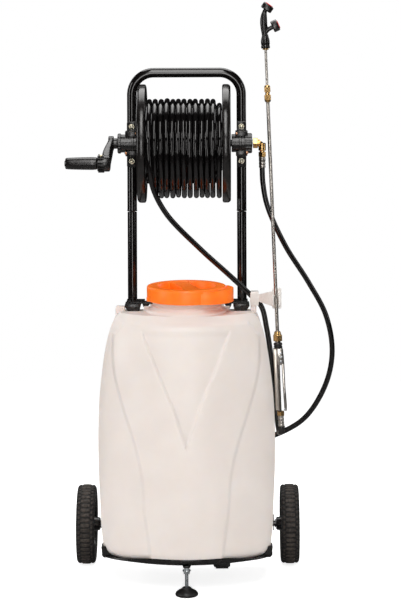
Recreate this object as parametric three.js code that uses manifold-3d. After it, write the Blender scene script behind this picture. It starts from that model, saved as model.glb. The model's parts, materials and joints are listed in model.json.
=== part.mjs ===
// Wheeled sprayer cart: a tube-framed trolley with a plastic tank, a hose reel with a crank,
// a battery pump behind the tank, and a long spray lance held at the tank's right side.
//
// Millimetres, +Z up. +X points to the lance side and -Y to the front. The pieces are placed
// from the middle of the axle, at Y = 0; the whole cart is then shifted so that its origin is
// the middle of the levelling foot's sole, on the ground.

import * as THREE from "three";
import { mergeVertices } from "three/addons/utils/BufferGeometryUtils.js";
import Module from "manifold-3d";

const wasm = await Module();
wasm.setup();
const { Manifold, Mesh: ManifoldMesh } = wasm;

// ---------------------------------------------------------------- driving dimensions

const GAP = 0.3; // clearance between neighbouring solids

const WHEEL_D = 178;
const WHEEL_W = 42;
const WHEEL_X = 233; // wheel centre plane
const HUB_R = 17;
const AXLE_R = 6;
const AXLE_Z = WHEEL_D / 2;

const TUBE_R = 11;
const TUBE_WALL = 1.5;
const TUBE_X = 126; // upright centre line
const HANDLE_Z = 1127; // grip bar centre line
const HANDLE_BEND = 50;
const SPLIT_Z = 809; // where the handle frame meets the lower frame
const SPIGOT = 60; // length of lower frame inside the handle frame
const SCREW_Z = 839; // screws that hold the two frames together
const RUNNER_Z = 54;
const RUNNER_BEND = 45;
const CROSS_Y = -150; // cross bar under the tray

const TANK_FRONT_Y = -280;
const TANK_BACK_Y = -15;
const TANK_FLOOR_Z = 69;
const TANK_WALL = 4;
const TANK_TAPER = 4.8; // each side is this much narrower at the back
const TANK_STEP_Z = 585; // lowered corners under the yoke
const TANK_STEP_Y = -140;
const NECK_R = 76;
const NECK_TOP_Z = 645;
const LID_Y = -130;
const LID_R = 89;
const LID_BOTTOM_Z = 624.5;
const LID_TOP_Z = 656.5;

const BAY_X = 104; // half width of the pump bay in the tank's back
const BAY_Y = -112;
const BAY_TOP_Z = 292;
const COVER_Z = 98; // bottom edge of the rear cover

const TRAY_BOTTOM_Z = 65.3;
const TRAY_LIP_Z = 74;
const TRAY_CORNER_X = 186.5; // the tray is cut off here behind its front corners

const DRAIN_X = 77;
const DRAIN_Y = -205;
const CONTROLS_Z = 262; // switch, flow knob and charging socket

const REEL_X = -5; // the reel sits a little nearer to its crank
const REEL_Y = -33;
const REEL_Z = 967;
const FLANGE_R = 135;
const FLANGE_IN = 87; // inner face, from the reel's middle
const FLANGE_OUT = 106; // outer face
const DRUM_R = 61;
const SHAFT_R = 8;
const HOSE_R = 6;
const COIL_R = 106; // centre line of the outer hose layer
const COIL_TURNS = 13;
const COIL_PITCH = 13.2;
const CRANK_LENGTH = 91.5;
const CRANK_DROP = 24.5; // degrees below the horizontal, towards the front
const BEARING_BOLTS_Z = [925, 1004];

const LANCE_X = 211.6; // foot of the lance's axis
const LANCE_Y = -120;
const LANCE_Z = 345;
const LANCE_LEAN = 2.15; // degrees towards the reel
const NOZZLE_FOOT = 842.5; // along the lance, from its hose end
const FOOT_Y = -266;

const WHEEL_SIDES = [["left", -1], ["right", 1]];

// ---------------------------------------------------------------- materials

const finish = (color, roughness, metalness = 0) =>
  new THREE.MeshStandardMaterial({ color, roughness, metalness });

const BLACK_PAINT = finish(0x15120f, 0.25, 0.3);
const STEEL = finish(0xb4aea8, 0.3, 1);
const ZINC = finish(0xc9b98a, 0.4, 1);
const BRASS = finish(0xc48a3c, 0.35, 1);
const COPPER = finish(0xb46a40, 0.4, 1);
const TANK_WHITE = finish(0xe6dbd3, 0.45);
const CLEAR_WHITE = finish(0xe9e4dd, 0.35);
const BLACK_PLASTIC = finish(0x1d1a18, 0.45);
const GREY_PLASTIC = finish(0x35312e, 0.5);
const ORANGE = finish(0xff7819, 0.45);
const RUBBER = finish(0x2f2a27, 0.85);
const HOSE_BLACK = finish(0x0e0c0c, 0.3);
const RED = finish(0xc81e1e, 0.5);

// ---------------------------------------------------------------- solids

const X = new THREE.Vector3(1, 0, 0);
const Y = new THREE.Vector3(0, 1, 0);
const Z = new THREE.Vector3(0, 0, 1);
const radians = THREE.MathUtils.degToRad;
const vec = (x, y, z) => new THREE.Vector3(x, y, z);

// A closed three.js geometry as a solid whose faces point outwards.
function solid(source) {
  const bare = source.clone();
  bare.deleteAttribute("normal");
  bare.deleteAttribute("uv");
  const merged = mergeVertices(bare, 1e-4);
  const index = merged.index.array;
  const spot = merged.attributes.position;
  const [a, b, c] = [vec(), vec(), vec()];
  let triangles = [];
  let volume = 0;
  for (let i = 0; i < index.length; i += 3) {
    const corners = [index[i], index[i + 1], index[i + 2]];
    if (new Set(corners).size < 3) continue;
    triangles.push(corners);
    a.fromBufferAttribute(spot, corners[0]);
    b.fromBufferAttribute(spot, corners[1]);
    c.fromBufferAttribute(spot, corners[2]);
    volume += a.dot(b.cross(c));
  }
  if (volume < 0) triangles = triangles.map(([p, q, r]) => [p, r, q]);
  return new Manifold(new ManifoldMesh({
    numProp: 3,
    vertProperties: new Float32Array(spot.array),
    triVerts: new Uint32Array(triangles.flat()),
  }));
}

// A solid as a three.js geometry.
function geometry(body) {
  const mesh = body.getMesh();
  const result = new THREE.BufferGeometry();
  result.setAttribute("position", new THREE.BufferAttribute(new Float32Array(mesh.vertProperties), 3));
  result.setIndex(new THREE.BufferAttribute(new Uint32Array(mesh.triVerts), 1));
  result.computeVertexNormals();
  return result;
}

const join = (first, ...rest) => rest.reduce((sum, body) => sum.add(body), first);
const cut = (first, ...rest) => rest.reduce((left, body) => left.subtract(body), first);

// A box between two corners.
function block([x0, y0, z0], [x1, y1, z1]) {
  const box = new THREE.BoxGeometry(x1 - x0, y1 - y0, z1 - z0);
  return solid(box.translate((x0 + x1) / 2, (y0 + y1) / 2, (z0 + z1) / 2));
}

// Turns a geometry built along +Y so that it lies along an axis.
function along(source, axis) {
  return source.applyQuaternion(new THREE.Quaternion().setFromUnitVectors(Y, axis.clone().normalize()));
}

// A round bar from one point to another; few sides make it a hexagon nut.
function rod(from, to, radius, sides = 16, endRadius = radius) {
  const [start, end] = [vec(...from), vec(...to)];
  const way = end.clone().sub(start);
  const bar = along(new THREE.CylinderGeometry(endRadius, radius, way.length(), sides), way);
  const middle = start.add(end).multiplyScalar(0.5);
  return solid(bar.translate(middle.x, middle.y, middle.z));
}

// A turned solid: profile points are [radius, distance along the axis].
function turned(profile, axis, centre = [0, 0, 0], sides = 32) {
  const outline = profile.map(([r, d]) => new THREE.Vector2(r, d));
  return solid(along(new THREE.LatheGeometry(outline, sides), axis).translate(...centre));
}

// A washer or sleeve: outer and inner radius between two distances along the axis.
function sleeve(outer, inner, from, to, axis, centre, sides = 32) {
  return turned([[inner, from], [outer, from], [outer, to], [inner, to], [inner, from]], axis, centre, sides);
}

// A path of straight runs joined by arcs, sampled only where it bends.
class PipePath extends THREE.Curve {
  constructor(corners, bend, arcSteps = 4) {
    super();
    this.stations = [];
    const points = corners.map((corner) => vec(...corner));
    const last = points.length - 1;
    points.forEach((point, i) => {
      const into = point.clone().sub(points[Math.max(i - 1, 0)]).normalize();
      const out = points[Math.min(i + 1, last)].clone().sub(point).normalize();
      if (i === 0 || i === last) {
        this.stations.push({ point, tangent: i === 0 ? out : into });
        return;
      }
      const turn = into.angleTo(out);
      const axis = into.clone().cross(out).normalize();
      const inward = axis.clone().cross(into);
      const start = point.clone().addScaledVector(into, -bend * Math.tan(turn / 2));
      for (let step = 0; step <= arcSteps; step += 1) {
        const angle = (turn * step) / arcSteps;
        const place = start.clone()
          .addScaledVector(into, bend * Math.sin(angle))
          .addScaledVector(inward, bend * (1 - Math.cos(angle)));
        this.stations.push({ point: place, tangent: into.clone().applyAxisAngle(axis, angle) });
      }
    });
  }

  station(u) {
    return this.stations[Math.round(u * (this.stations.length - 1))];
  }

  getPointAt(u, target = vec()) {
    return target.copy(this.station(u).point);
  }

  getTangentAt(u, target = vec()) {
    return target.copy(this.station(u).tangent);
  }

  getPoint(u, target) {
    return this.getPointAt(u, target);
  }
}

// A round section swept along a path; an inner radius makes it a pipe with open ends.
function swept(path, steps, outer, inner = 0, sides = 12) {
  const section = new THREE.Shape().absarc(0, 0, outer, 0, 2 * Math.PI);
  if (inner > 0) section.holes.push(new THREE.Path().absarc(0, 0, inner, 0, 2 * Math.PI, true));
  const settings = { steps, extrudePath: path, curveSegments: sides / 2, bevelEnabled: false };
  return solid(new THREE.ExtrudeGeometry(section, settings));
}

function pipe(corners, bend, outer, inner, sides, arcSteps) {
  const path = new PipePath(corners, bend, arcSteps);
  return swept(path, path.stations.length - 1, outer, inner, sides);
}

function hose(points, steps, sides = 6) {
  const path = new THREE.CatmullRomCurve3(points.map((point) => vec(...point)), false, "centripetal");
  return swept(path, steps, HOSE_R, 0, sides);
}

// A flat plate: its outline lies in the X-Z plane and its thickness runs from y0 to y1.
function plate(outline, y0, y1, curveSegments = 4) {
  const shape = new THREE.ExtrudeGeometry(outline, { depth: y1 - y0, bevelEnabled: false, curveSegments });
  return solid(shape.rotateX(Math.PI / 2).translate(0, y1, 0));
}

// A bar along X: its outline lies in the Y-Z plane.
function beam(outline, x0, x1, curveSegments = 4) {
  const shape = new THREE.ExtrudeGeometry(outline, { depth: x1 - x0, bevelEnabled: false, curveSegments });
  return solid(shape.applyMatrix4(new THREE.Matrix4().makeBasis(Y, Z, X)).translate(x0, 0, 0));
}

function roundedRectangle(x0, z0, x1, z1, r) {
  const outline = new THREE.Shape();
  outline.absarc(x1 - r, z0 + r, r, -Math.PI / 2, 0);
  outline.absarc(x1 - r, z1 - r, r, 0, Math.PI / 2);
  outline.absarc(x0 + r, z1 - r, r, Math.PI / 2, Math.PI);
  outline.absarc(x0 + r, z0 + r, r, Math.PI, 1.5 * Math.PI);
  return outline;
}

// ---------------------------------------------------------------- the assembly

const cart = new THREE.Group();
cart.position.y = -FOOT_Y;

function add(name, body, material, parent = cart) {
  const mesh = new THREE.Mesh(geometry(body), material);
  mesh.name = name;
  parent.add(mesh);
  return mesh;
}

// ---------------------------------------------------------------- frame

function buildHandleFrame() {
  const corners = [
    [-TUBE_X, 0, SPLIT_Z],
    [-TUBE_X, 0, HANDLE_Z],
    [TUBE_X, 0, HANDLE_Z],
    [TUBE_X, 0, SPLIT_Z],
  ];
  const holes = [];
  for (const x of [-TUBE_X, TUBE_X]) {
    for (const z of BEARING_BOLTS_Z) holes.push(rod([x, -20, z], [x, -5, z], 3.1, 8));
    holes.push(rod([x, 5, SCREW_Z], [x, 20, SCREW_Z], 2.9, 8));
  }
  const tube = pipe(corners, HANDLE_BEND, TUBE_R, TUBE_R - TUBE_WALL, 12, 5);
  add("handle_frame", cut(tube, ...holes), BLACK_PAINT);
}

function buildLowerFrame() {
  const corners = [
    [-TUBE_X, 0, SPLIT_Z - GAP],
    [-TUBE_X, 0, RUNNER_Z],
    [-TUBE_X, CROSS_Y, RUNNER_Z],
    [TUBE_X, CROSS_Y, RUNNER_Z],
    [TUBE_X, 0, RUNNER_Z],
    [TUBE_X, 0, SPLIT_Z - GAP],
  ];
  let frame = pipe(corners, RUNNER_BEND, TUBE_R, TUBE_R - TUBE_WALL, 12, 3);
  const seatR = TUBE_R - TUBE_WALL / 2;
  const spigotR = TUBE_R - TUBE_WALL - GAP;
  const spigot = [
    [spigotR - TUBE_WALL, SPLIT_Z - 20], [seatR, SPLIT_Z - 20], [seatR, SPLIT_Z - 2 * GAP],
    [spigotR, SPLIT_Z - 2 * GAP], [spigotR, SPLIT_Z + SPIGOT], [spigotR - TUBE_WALL, SPLIT_Z + SPIGOT],
    [spigotR - TUBE_WALL, SPLIT_Z - 20],
  ];
  for (const x of [-TUBE_X, TUBE_X]) {
    frame = join(frame, turned(spigot, Z, [x, 0, 0], 12));
    frame = cut(frame, rod([x, 0, SCREW_Z], [x, 20, SCREW_Z], 2.9, 8));
  }
  const axleHole = rod([-200, 0, AXLE_Z], [200, 0, AXLE_Z], AXLE_R + GAP, 12);
  add("lower_frame", cut(frame, axleHole), BLACK_PAINT);
}

function buildFrameScrews() {
  const z = SCREW_Z;
  for (const [side, sign] of WHEEL_SIDES) {
    const x = sign * TUBE_X;
    const shank = rod([x, 6, z], [x, 12, z], 2.4, 8);
    const head = rod([x, TUBE_R + GAP, z], [x, TUBE_R + 4, z], 5.5, 12, 4);
    add(`frame_screw_${side}`, join(shank, head), ZINC);
  }
}

// ---------------------------------------------------------------- axle and wheels

function buildAxle() {
  const end = WHEEL_X + 17;
  const collar = [WHEEL_X - 34.5, WHEEL_X - 31.5];
  const half = [[9, collar[1]], [AXLE_R, collar[1]], [AXLE_R, end - 1.5], [AXLE_R - 1.5, end], [0, end]];
  const mirrored = [
    [0, -end], [AXLE_R - 1.5, -end], [AXLE_R, 1.5 - end], [AXLE_R, -collar[1]], [9, -collar[1]],
    [9, -collar[0]], [AXLE_R, -collar[0]], [AXLE_R, collar[0]], [9, collar[0]], ...half,
  ];
  const bar = turned(mirrored, X, [0, 0, AXLE_Z], 14);
  const holes = [-1, 1].map((sign) => rod([sign * 196, 0, 60], [sign * 196, 0, 120], 1.9, 6));
  add("axle", cut(bar, ...holes), STEEL);
}

function buildWheel(side, sign) {
  const centre = [sign * WHEEL_X, 0, AXLE_Z];
  const outer = WHEEL_D / 2;
  const halfWidth = WHEEL_W / 2;
  const seatR = 62;
  const shoulder = 8;
  const crown = [];
  for (let step = 0; step <= 2; step += 1) {
    const angle = (Math.PI / 2) * (step / 2);
    const reach = shoulder * Math.cos(angle);
    const depth = shoulder * (1 - Math.sin(angle));
    crown.push([outer - 1.2 - depth, -(halfWidth - shoulder + reach)]);
  }
  const profile = [[seatR, 1 - halfWidth], ...crown, [outer, 0]];
  crown.slice().reverse().forEach(([r, d]) => profile.push([r, -d]));
  profile.push([seatR, halfWidth - 1], [seatR, 1 - halfWidth]);
  add(`tyre_${side}`, turned(profile, X, centre, 32), RUBBER);

  const rimR = seatR - GAP;
  const barrel = sleeve(rimR, rimR - 4, -17, 17, X, centre, 24);
  const web = sleeve(rimR - 2, HUB_R - 2, -3, 3, X, centre, 24);
  const hub = sleeve(HUB_R, AXLE_R - 1, -31, 19, vec(sign, 0, 0), centre, 16);
  const spokes = [];
  for (let i = 0; i < 6; i += 1) {
    const angle = (i * Math.PI) / 3 + Math.PI / 6;
    const radius = (rimR + HUB_R) / 2;
    const [y, z] = [radius * Math.cos(angle), AXLE_Z + radius * Math.sin(angle)];
    spokes.push(rod([sign * WHEEL_X - 10, y, z], [sign * WHEEL_X + 10, y, z], 12, 8));
  }
  const inner = cut(join(barrel, web, hub), ...spokes);
  const bore = rod([sign * 190, 0, AXLE_Z], [sign * 270, 0, AXLE_Z], AXLE_R + GAP, 14);
  const cap = turned([[0, 18.5], [HUB_R, 18.5], [HUB_R - 3, 20.5], [0, 21]], vec(sign, 0, 0), centre, 16);
  add(`wheel_rim_${side}`, join(cut(inner, bore), cap), BLACK_PLASTIC);
}

function buildCotter(side, sign) {
  const x = sign * 196;
  const leg = rod([x, 0, AXLE_Z - 16], [x, 0, AXLE_Z + 12], 1.4, 6);
  const eye = sleeve(5, 2.6, -1.4, 1.4, Y, [x, 0, AXLE_Z + 15.5], 12);
  add(`cotter_pin_${side}`, join(leg, eye), ZINC);
}

// ---------------------------------------------------------------- tank

// Half width of the tank's front at a height: it draws in to the shoulders and towards the floor.
const tankSide = new THREE.SplineCurve([
  new THREE.Vector2(69, 180),
  new THREE.Vector2(90, 185),
  new THREE.Vector2(130, 189.5),
  new THREE.Vector2(171, 191.5),
  new THREE.Vector2(284, 195.8),
  new THREE.Vector2(396, 194),
  new THREE.Vector2(470, 187.5),
  new THREE.Vector2(540, 176.5),
  new THREE.Vector2(583, 163),
  new THREE.Vector2(600, 148),
]);

// How far the front draws back from its foremost line towards the top.
const tankFront = new THREE.SplineCurve([
  new THREE.Vector2(69, 6),
  new THREE.Vector2(90, 0),
  new THREE.Vector2(300, -2),
  new THREE.Vector2(450, 2),
  new THREE.Vector2(540, 14),
  new THREE.Vector2(583, 34),
  new THREE.Vector2(600, 52),
]);

// The value of a spline whose first coordinate is a height.
function readAt(curve, z) {
  let [low, high] = [0, 1];
  for (let i = 0; i < 24; i += 1) {
    const middle = (low + high) / 2;
    if (curve.getPoint(middle).x < z) low = middle;
    else high = middle;
  }
  return curve.getPoint(low).y;
}

const smooth = (value, from, to) => THREE.MathUtils.smoothstep(value, from, to);

// Half width of the proud front face: wide above, a tongue below.
function tongueHalfWidth(z) {
  const lower = 79 + 14 * smooth(z, 69, 210);
  return lower + 69 * smooth(z, 190, 520) ** 1.25;
}

// Relief of the front: the tongue stands out, the V-shaped chest is sunk.
function frontRelief(x, z) {
  const edge = tongueHalfWidth(z) - Math.abs(x);
  const tongue = 7 * smooth(edge, -8, 8) * (1 - smooth(z, 580, 597));
  const legs = 320 + 3.1 * Math.min(Math.abs(x), 27) + 2.35 * Math.max(Math.abs(x) - 27, 0);
  const chest = 4 * smooth(z - legs, -8, 10) * smooth(edge, 0, 12);
  return tongue - chest * (1 - smooth(z, 572, 590));
}

// How much the rounded lower corners take off the front's half width.
function cornerLoss(z) {
  const low = Math.max(0, 1 - (z - TANK_FLOOR_Z) / 18);
  return 20 * (1 - Math.sqrt(1 - low * low));
}

// The outline of the tank at one height, counter-clockwise from the middle of the back.
function tankOutline(z, inset, frontSteps, sideSteps) {
  const w = readAt(tankSide, z) - inset - cornerLoss(z);
  const front = TANK_FRONT_Y + 7 + readAt(tankFront, z) + inset;
  const back = TANK_BACK_Y - inset;
  const cornerY = front + 84 * (w / 196);
  const rear = readAt(tankSide, Math.max(z, 284)) - TANK_TAPER - inset;
  const r = 22;
  const half = [];
  for (let i = 0; i <= 3; i += 1) {
    const angle = (Math.PI / 2) * (i / 3);
    half.push([rear - r + r * Math.sin(angle), back - r + r * Math.cos(angle)]);
  }
  for (let i = 1; i < sideSteps; i += 1) {
    half.push([rear + ((w - rear) * i) / sideSteps, back - r + ((cornerY + 12 - back + r) * i) / sideSteps]);
  }
  for (let i = 0; i <= frontSteps; i += 1) {
    const s = 1 - i / frontSteps;
    const x = w * Math.sin((Math.PI / 2) * s) ** 0.9;
    const bow = (x / w) ** 2;
    const y = front + (cornerY - front) * (0.82 * bow + 0.18 * bow ** 6);
    half.push([x, inset > 0 ? y + 6 : y - frontRelief(x, z)]);
  }
  const mirrored = half.slice(0, -1).reverse().map(([x, y]) => [-x, y]);
  return [...half, ...mirrored];
}

// A closed body through outlines at rising heights.
function loft(levels, outlineAt) {
  const rings = levels.map((z) => outlineAt(z).map(([x, y]) => vec(x, y, z)));
  const n = rings[0].length;
  const index = [];
  const quad = (a, b, c, d) => index.push(a, b, c, a, c, d);
  for (let k = 0; k + 1 < rings.length; k += 1) {
    for (let i = 0; i < n; i += 1) {
      const j = (i + 1) % n;
      quad(k * n + i, (k + 1) * n + i, (k + 1) * n + j, k * n + j);
    }
  }
  const vertices = rings.flat();
  for (const [start, flip] of [[0, false], [(rings.length - 1) * n, true]]) {
    const ring = vertices.slice(start, start + n).map((p) => new THREE.Vector2(p.x, p.y));
    for (const [a, b, c] of THREE.ShapeUtils.triangulateShape(ring, [])) {
      index.push(start + a, start + (flip ? b : c), start + (flip ? c : b));
    }
  }
  const body = new THREE.BufferGeometry().setFromPoints(vertices);
  body.setIndex(index);
  return solid(body);
}

// Hollows in the tank's back: the pump bay, the ledge for the yoke and room for the tube bends.
function tankRecesses(wall) {
  const bay = block([-BAY_X - wall, BAY_Y - wall, 0], [BAY_X + wall, 40, BAY_TOP_Z + wall]);
  const ledges = [-1, 1].flatMap((sign) => [[97, TANK_STEP_Y], [84, -65]].map(([near, y]) => {
    const [x0, x1] = [sign * (near - wall), sign * 260];
    return block([Math.min(x0, x1), y - wall, TANK_STEP_Z - wall], [Math.max(x0, x1), 40, 700]);
  }));
  const bends = [-TUBE_X, TUBE_X].map((x) =>
    block([x - 15 - wall, -56 - wall, 0], [x + 15 + wall, 40, 100 + wall]));
  return join(bay, ...ledges, ...bends);
}

function buildTank() {
  const outerLevels = [69, 72, 78, 90, 130, 175, 225, 275, 320, 365, 410, 455, 500, 540, 565, 583, 600];
  const outerShell = loft(outerLevels, (z) => tankOutline(z, 0, 10, 2));
  const innerLevels = [76, 95, 284, 396, 470, 540, 580, 593];
  const cavity = loft(innerLevels, (z) => tankOutline(z, TANK_WALL + 2, 5, 2));
  const centre = [0, LID_Y, 0];
  const neckProfile = [
    [0, 590], [NECK_R + 12, 590], [NECK_R + 10, 601], [NECK_R + 2, 609], [NECK_R, 614],
    [NECK_R, NECK_TOP_Z], [0, NECK_TOP_Z],
  ];
  const neck = turned(neckProfile, Z, centre, 28);
  const mouth = rod([0, LID_Y, 580], [0, LID_Y, 660], NECK_R - TANK_WALL, 28);
  const leftEar = block([-162, -76, 560], [-140, -52, 600]);
  const rightEar = block([145, -76, 560], [158, -46, 601]);
  let tank = cut(outerShell, tankRecesses(0));
  const hollow = cut(cavity, tankRecesses(TANK_WALL));
  tank = cut(join(tank, neck, leftEar, rightEar), hollow, mouth);
  const drain = rod([DRAIN_X, DRAIN_Y, 50], [DRAIN_X, DRAIN_Y, 90], 10 + GAP, 20);
  const holderHoles = [0, 1].map((i) => rod([151.5, -55 - i * 12, 588], [151.5, -55 - i * 12, 610], 2.4, 6));
  add("tank", cut(tank, drain, ...holderHoles), TANK_WHITE);
}

function buildStrainer() {
  const r = NECK_R - TANK_WALL - 2;
  const top = NECK_TOP_Z + GAP;
  const basket = turned([
    [0, 520], [r - 8, 520], [r, 600], [r, top], [NECK_R - 1, top], [NECK_R - 1, top + 2],
    [r - 3, top + 2], [r - 3, 600], [r - 11, 523], [0, 523],
  ], Z, [0, LID_Y, 0], 24);
  const slots = [];
  for (let i = 0; i < 3; i += 1) {
    slots.push(block([-90, -12, 535], [90, 12, 630]).rotate([0, 0, i * 60]).translate([0, LID_Y, 0]));
  }
  add("neck_strainer", cut(basket, ...slots), GREY_PLASTIC);
}

function buildLid() {
  const pivot = [0, LID_Y, 0];
  const skirtR = NECK_R + 1.5;
  const cup = turned([
    [skirtR, LID_BOTTOM_Z], [LID_R - 1.5, LID_BOTTOM_Z], [LID_R, LID_BOTTOM_Z + 2], [LID_R, LID_TOP_Z - 3],
    [LID_R - 3, LID_TOP_Z], [66, LID_TOP_Z], [64, 653.6], [0, 653.6], [0, 650.5], [skirtR, 650.5],
    [skirtR, LID_BOTTOM_Z],
  ], Z, pivot, 32);
  const bar = block([-15, -65.5, 652], [15, 65.5, LID_TOP_Z - 0.5]);
  const handle = bar.rotate([0, 0, 15]).translate(pivot);
  const lobeCentre = [40.6, LID_Y - 18, 0];
  const lobeShape = turned([[0, LID_BOTTOM_Z], [66, LID_BOTTOM_Z], [66, 654], [0, 654]], Z, lobeCentre, 24);
  const clear = turned([[0, 600], [skirtR, 600], [skirtR, 652], [0, 652]], Z, pivot, 32);
  const well = turned([[0, 653.6], [64, 653.6], [66, 660], [0, 660]], Z, pivot, 32);
  const notch = block([-4, -30, 648], [4, 30, 660]).rotate([0, 0, 40]).translate([88, LID_Y - 50, 0]);
  const lobe = cut(lobeShape, clear, well, notch);
  add("lid", join(cup, lobe, handle), ORANGE);
  const gasket = sleeve(NECK_R - 1, 60, 648, 650.2, Z, pivot, 24);
  add("lid_gasket", gasket, RUBBER);
}

function buildYoke() {
  const bridge = block([-150, -36, 600.6], [150, 16, 604.6]);
  const hangers = [[104, 139.5, -61, 16], [87, 99, -44, -36]].flatMap(([near, far, y0, y1]) => [
    block([near, y0, TANK_STEP_Z + 1.5], [far, y1, 604.6]),
    block([-far, y0, TANK_STEP_Z + 1.5], [-near, y1, 604.6]),
  ]);
  const relief = block([-98, -14, 598], [98, 20, 612]);
  const bores = [-TUBE_X, TUBE_X].map((x) => rod([x, 0, 570], [x, 0, 620], TUBE_R + 2 * GAP, 20));
  add("tank_yoke", cut(join(bridge, ...hangers), relief, ...bores), BLACK_PLASTIC);
}

// ---------------------------------------------------------------- base

function buildTray() {
  const rim = (z, margin) => tankOutline(z, -margin, 6, 1);
  const outside = loft([TRAY_BOTTOM_Z, 69, TRAY_LIP_Z], (z) => rim(z < 69 ? 69 : 90, z < 69 ? 1 : 4));
  const inside = loft([TANK_FLOOR_Z - GAP, TRAY_LIP_Z + 5], () => rim(90, 1.2));
  const posts = [-1, 1].map((sign) => block([sign * 173 - 13.5, -204, 66], [sign * 173 + 13.5, -172, 91]));
  const postRoom = loft([68.4, 72, 78, 90, 100], (z) => rim(Math.max(z, 69), 1.2));
  const sides = [-1, 1].map((sign) =>
    block([sign * (TRAY_CORNER_X + 30) - 30, -172, 40], [sign * (TRAY_CORNER_X + 30) + 30, 40, 120]));
  const rearWall = block([-110, -14.6, TRAY_BOTTOM_Z], [110, -11.6, COVER_Z - GAP]);
  const rearFloor = block([-110, -30, TRAY_BOTTOM_Z], [110, -11.6, TANK_FLOOR_Z - GAP]);
  const bends = [-TUBE_X, TUBE_X].map((x) => block([x - 14.5, -58, 0], [x + 14.5, 40, 120]));
  const drain = rod([DRAIN_X, DRAIN_Y, 40], [DRAIN_X, DRAIN_Y, 100], 10 + GAP, 20);
  let tray = join(cut(outside, inside), rearFloor, rearWall, ...posts.map((post) => cut(post, postRoom)));
  tray = cut(tray, drain, ...bends, ...sides);
  add("base_tray", tray, BLACK_PLASTIC);
}

function buildFoot() {
  const top = TRAY_BOTTOM_Z - GAP;
  const arm = block([-16, FOOT_Y - 10, top - 3.7], [16, CROSS_Y - 12, top]);
  const hole = rod([0, FOOT_Y, 40], [0, FOOT_Y, 80], 4 + GAP, 14);
  const cradle = block([-16, CROSS_Y - 16, RUNNER_Z - 10], [16, CROSS_Y - 11.5, top]);
  add("foot_bracket", cut(join(arm, cradle), hole), BLACK_PAINT);
  const nut = join(
    rod([0, FOOT_Y, 47], [0, FOOT_Y, 53], 8, 6),
    rod([0, FOOT_Y, 53], [0, FOOT_Y, 55.5], 9, 18),
    rod([0, FOOT_Y, 55.5], [0, FOOT_Y, top - 3.7 - GAP], 6, 14),
  );
  add("foot_nut", cut(nut, hole), ZINC);
  const screw = [[0, 9], [4, 9], [4, 63], [3, 64.5], [0, 64.5]];
  add("foot_rod", turned(screw, Z, [0, FOOT_Y, 0], 14), ZINC);
  const pad = turned([
    [0, 0], [23.5, 0], [25, 1.5], [25, 5], [21, 10], [13, 14.5], [10, 18], [4.3, 18], [4.3, 8.6], [0, 8.6],
  ], Z, [0, FOOT_Y, 0], 20);
  add("foot_pad", pad, RUBBER);
}

function buildDrainPlug() {
  const grip = turned([
    [0, 46], [16, 46], [18, 48], [18, 61], [9.8, 62.5], [9.8, 76], [8.5, 78], [0, 78],
  ], Z, [DRAIN_X, DRAIN_Y, 0], 20);
  const wing = block([DRAIN_X - 14, DRAIN_Y - 2.5, 42], [DRAIN_X + 14, DRAIN_Y + 2.5, 47]);
  add("drain_plug", join(grip, wing), BLACK_PLASTIC);
}

// ---------------------------------------------------------------- pump bay

function buildRearCover() {
  const shell = plate(roundedRectangle(-110, COVER_Z, 110, 300, 12), TANK_BACK_Y + GAP, 9, 3);
  const inside = plate(roundedRectangle(-107, COVER_Z + 3, 107, 297, 9), TANK_BACK_Y - 10, 6, 3);
  const outlet = rod([88, -20, 205], [88, 20, 205], 8, 12);
  const socket = rod([60, -20, CONTROLS_Z], [60, 20, CONTROLS_Z], 8.2, 12);
  const shaft = rod([0, -20, CONTROLS_Z], [0, 20, CONTROLS_Z], 4.5, 12);
  const rocker = block([-71, -20, CONTROLS_Z - 13], [-49, 20, CONTROLS_Z + 13]);
  const vents = [];
  for (let i = 0; i < 4; i += 1) vents.push(block([-45, 0, 120 + i * 16], [45, 20, 126 + i * 16]));
  add("rear_cover", cut(shell, inside, outlet, socket, shaft, rocker, ...vents), BLACK_PLASTIC);
}

function buildPump() {
  const battery = join(
    block([-75.5, -96, TANK_FLOOR_Z], [75.5, -31, TANK_FLOOR_Z + 94]),
    block([-66, -90, 160], [-54, -84, 169]),
    block([54, -90, 160], [66, -84, 169]),
  );
  add("battery", battery, GREY_PLASTIC);
  const motor = turned([
    [0, -66], [8, -66], [8, -60], [24, -60], [25, -58], [25, 9.7], [0, 9.7],
  ], X, [0, -62, 205], 20);
  add("pump_motor", motor, STEEL);
  const head = join(
    block([10, -92, 178], [68, -32, 232]),
    rod([40, -62, 231], [40, -62, 244], 7, 16),
  );
  add("pump_head", head, BLACK_PLASTIC);
  const elbow = pipe([[68.3, -62, 205], [88, -62, 205], [88, 30, 205], [88, 30, 222]], 12, 6, 0, 10);
  const collar = sleeve(9, 5, 12, 17, Y, [88, 0, 205], 6);
  add("pump_outlet", join(elbow, collar), BRASS);
  const suction = [[40, -62, 244.6], [40, -62, 256], [40, -74, 271], [40, -96, 275], [40, -111.5, 275]];
  add("suction_hose", hose(suction, 9), HOSE_BLACK);
}

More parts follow.
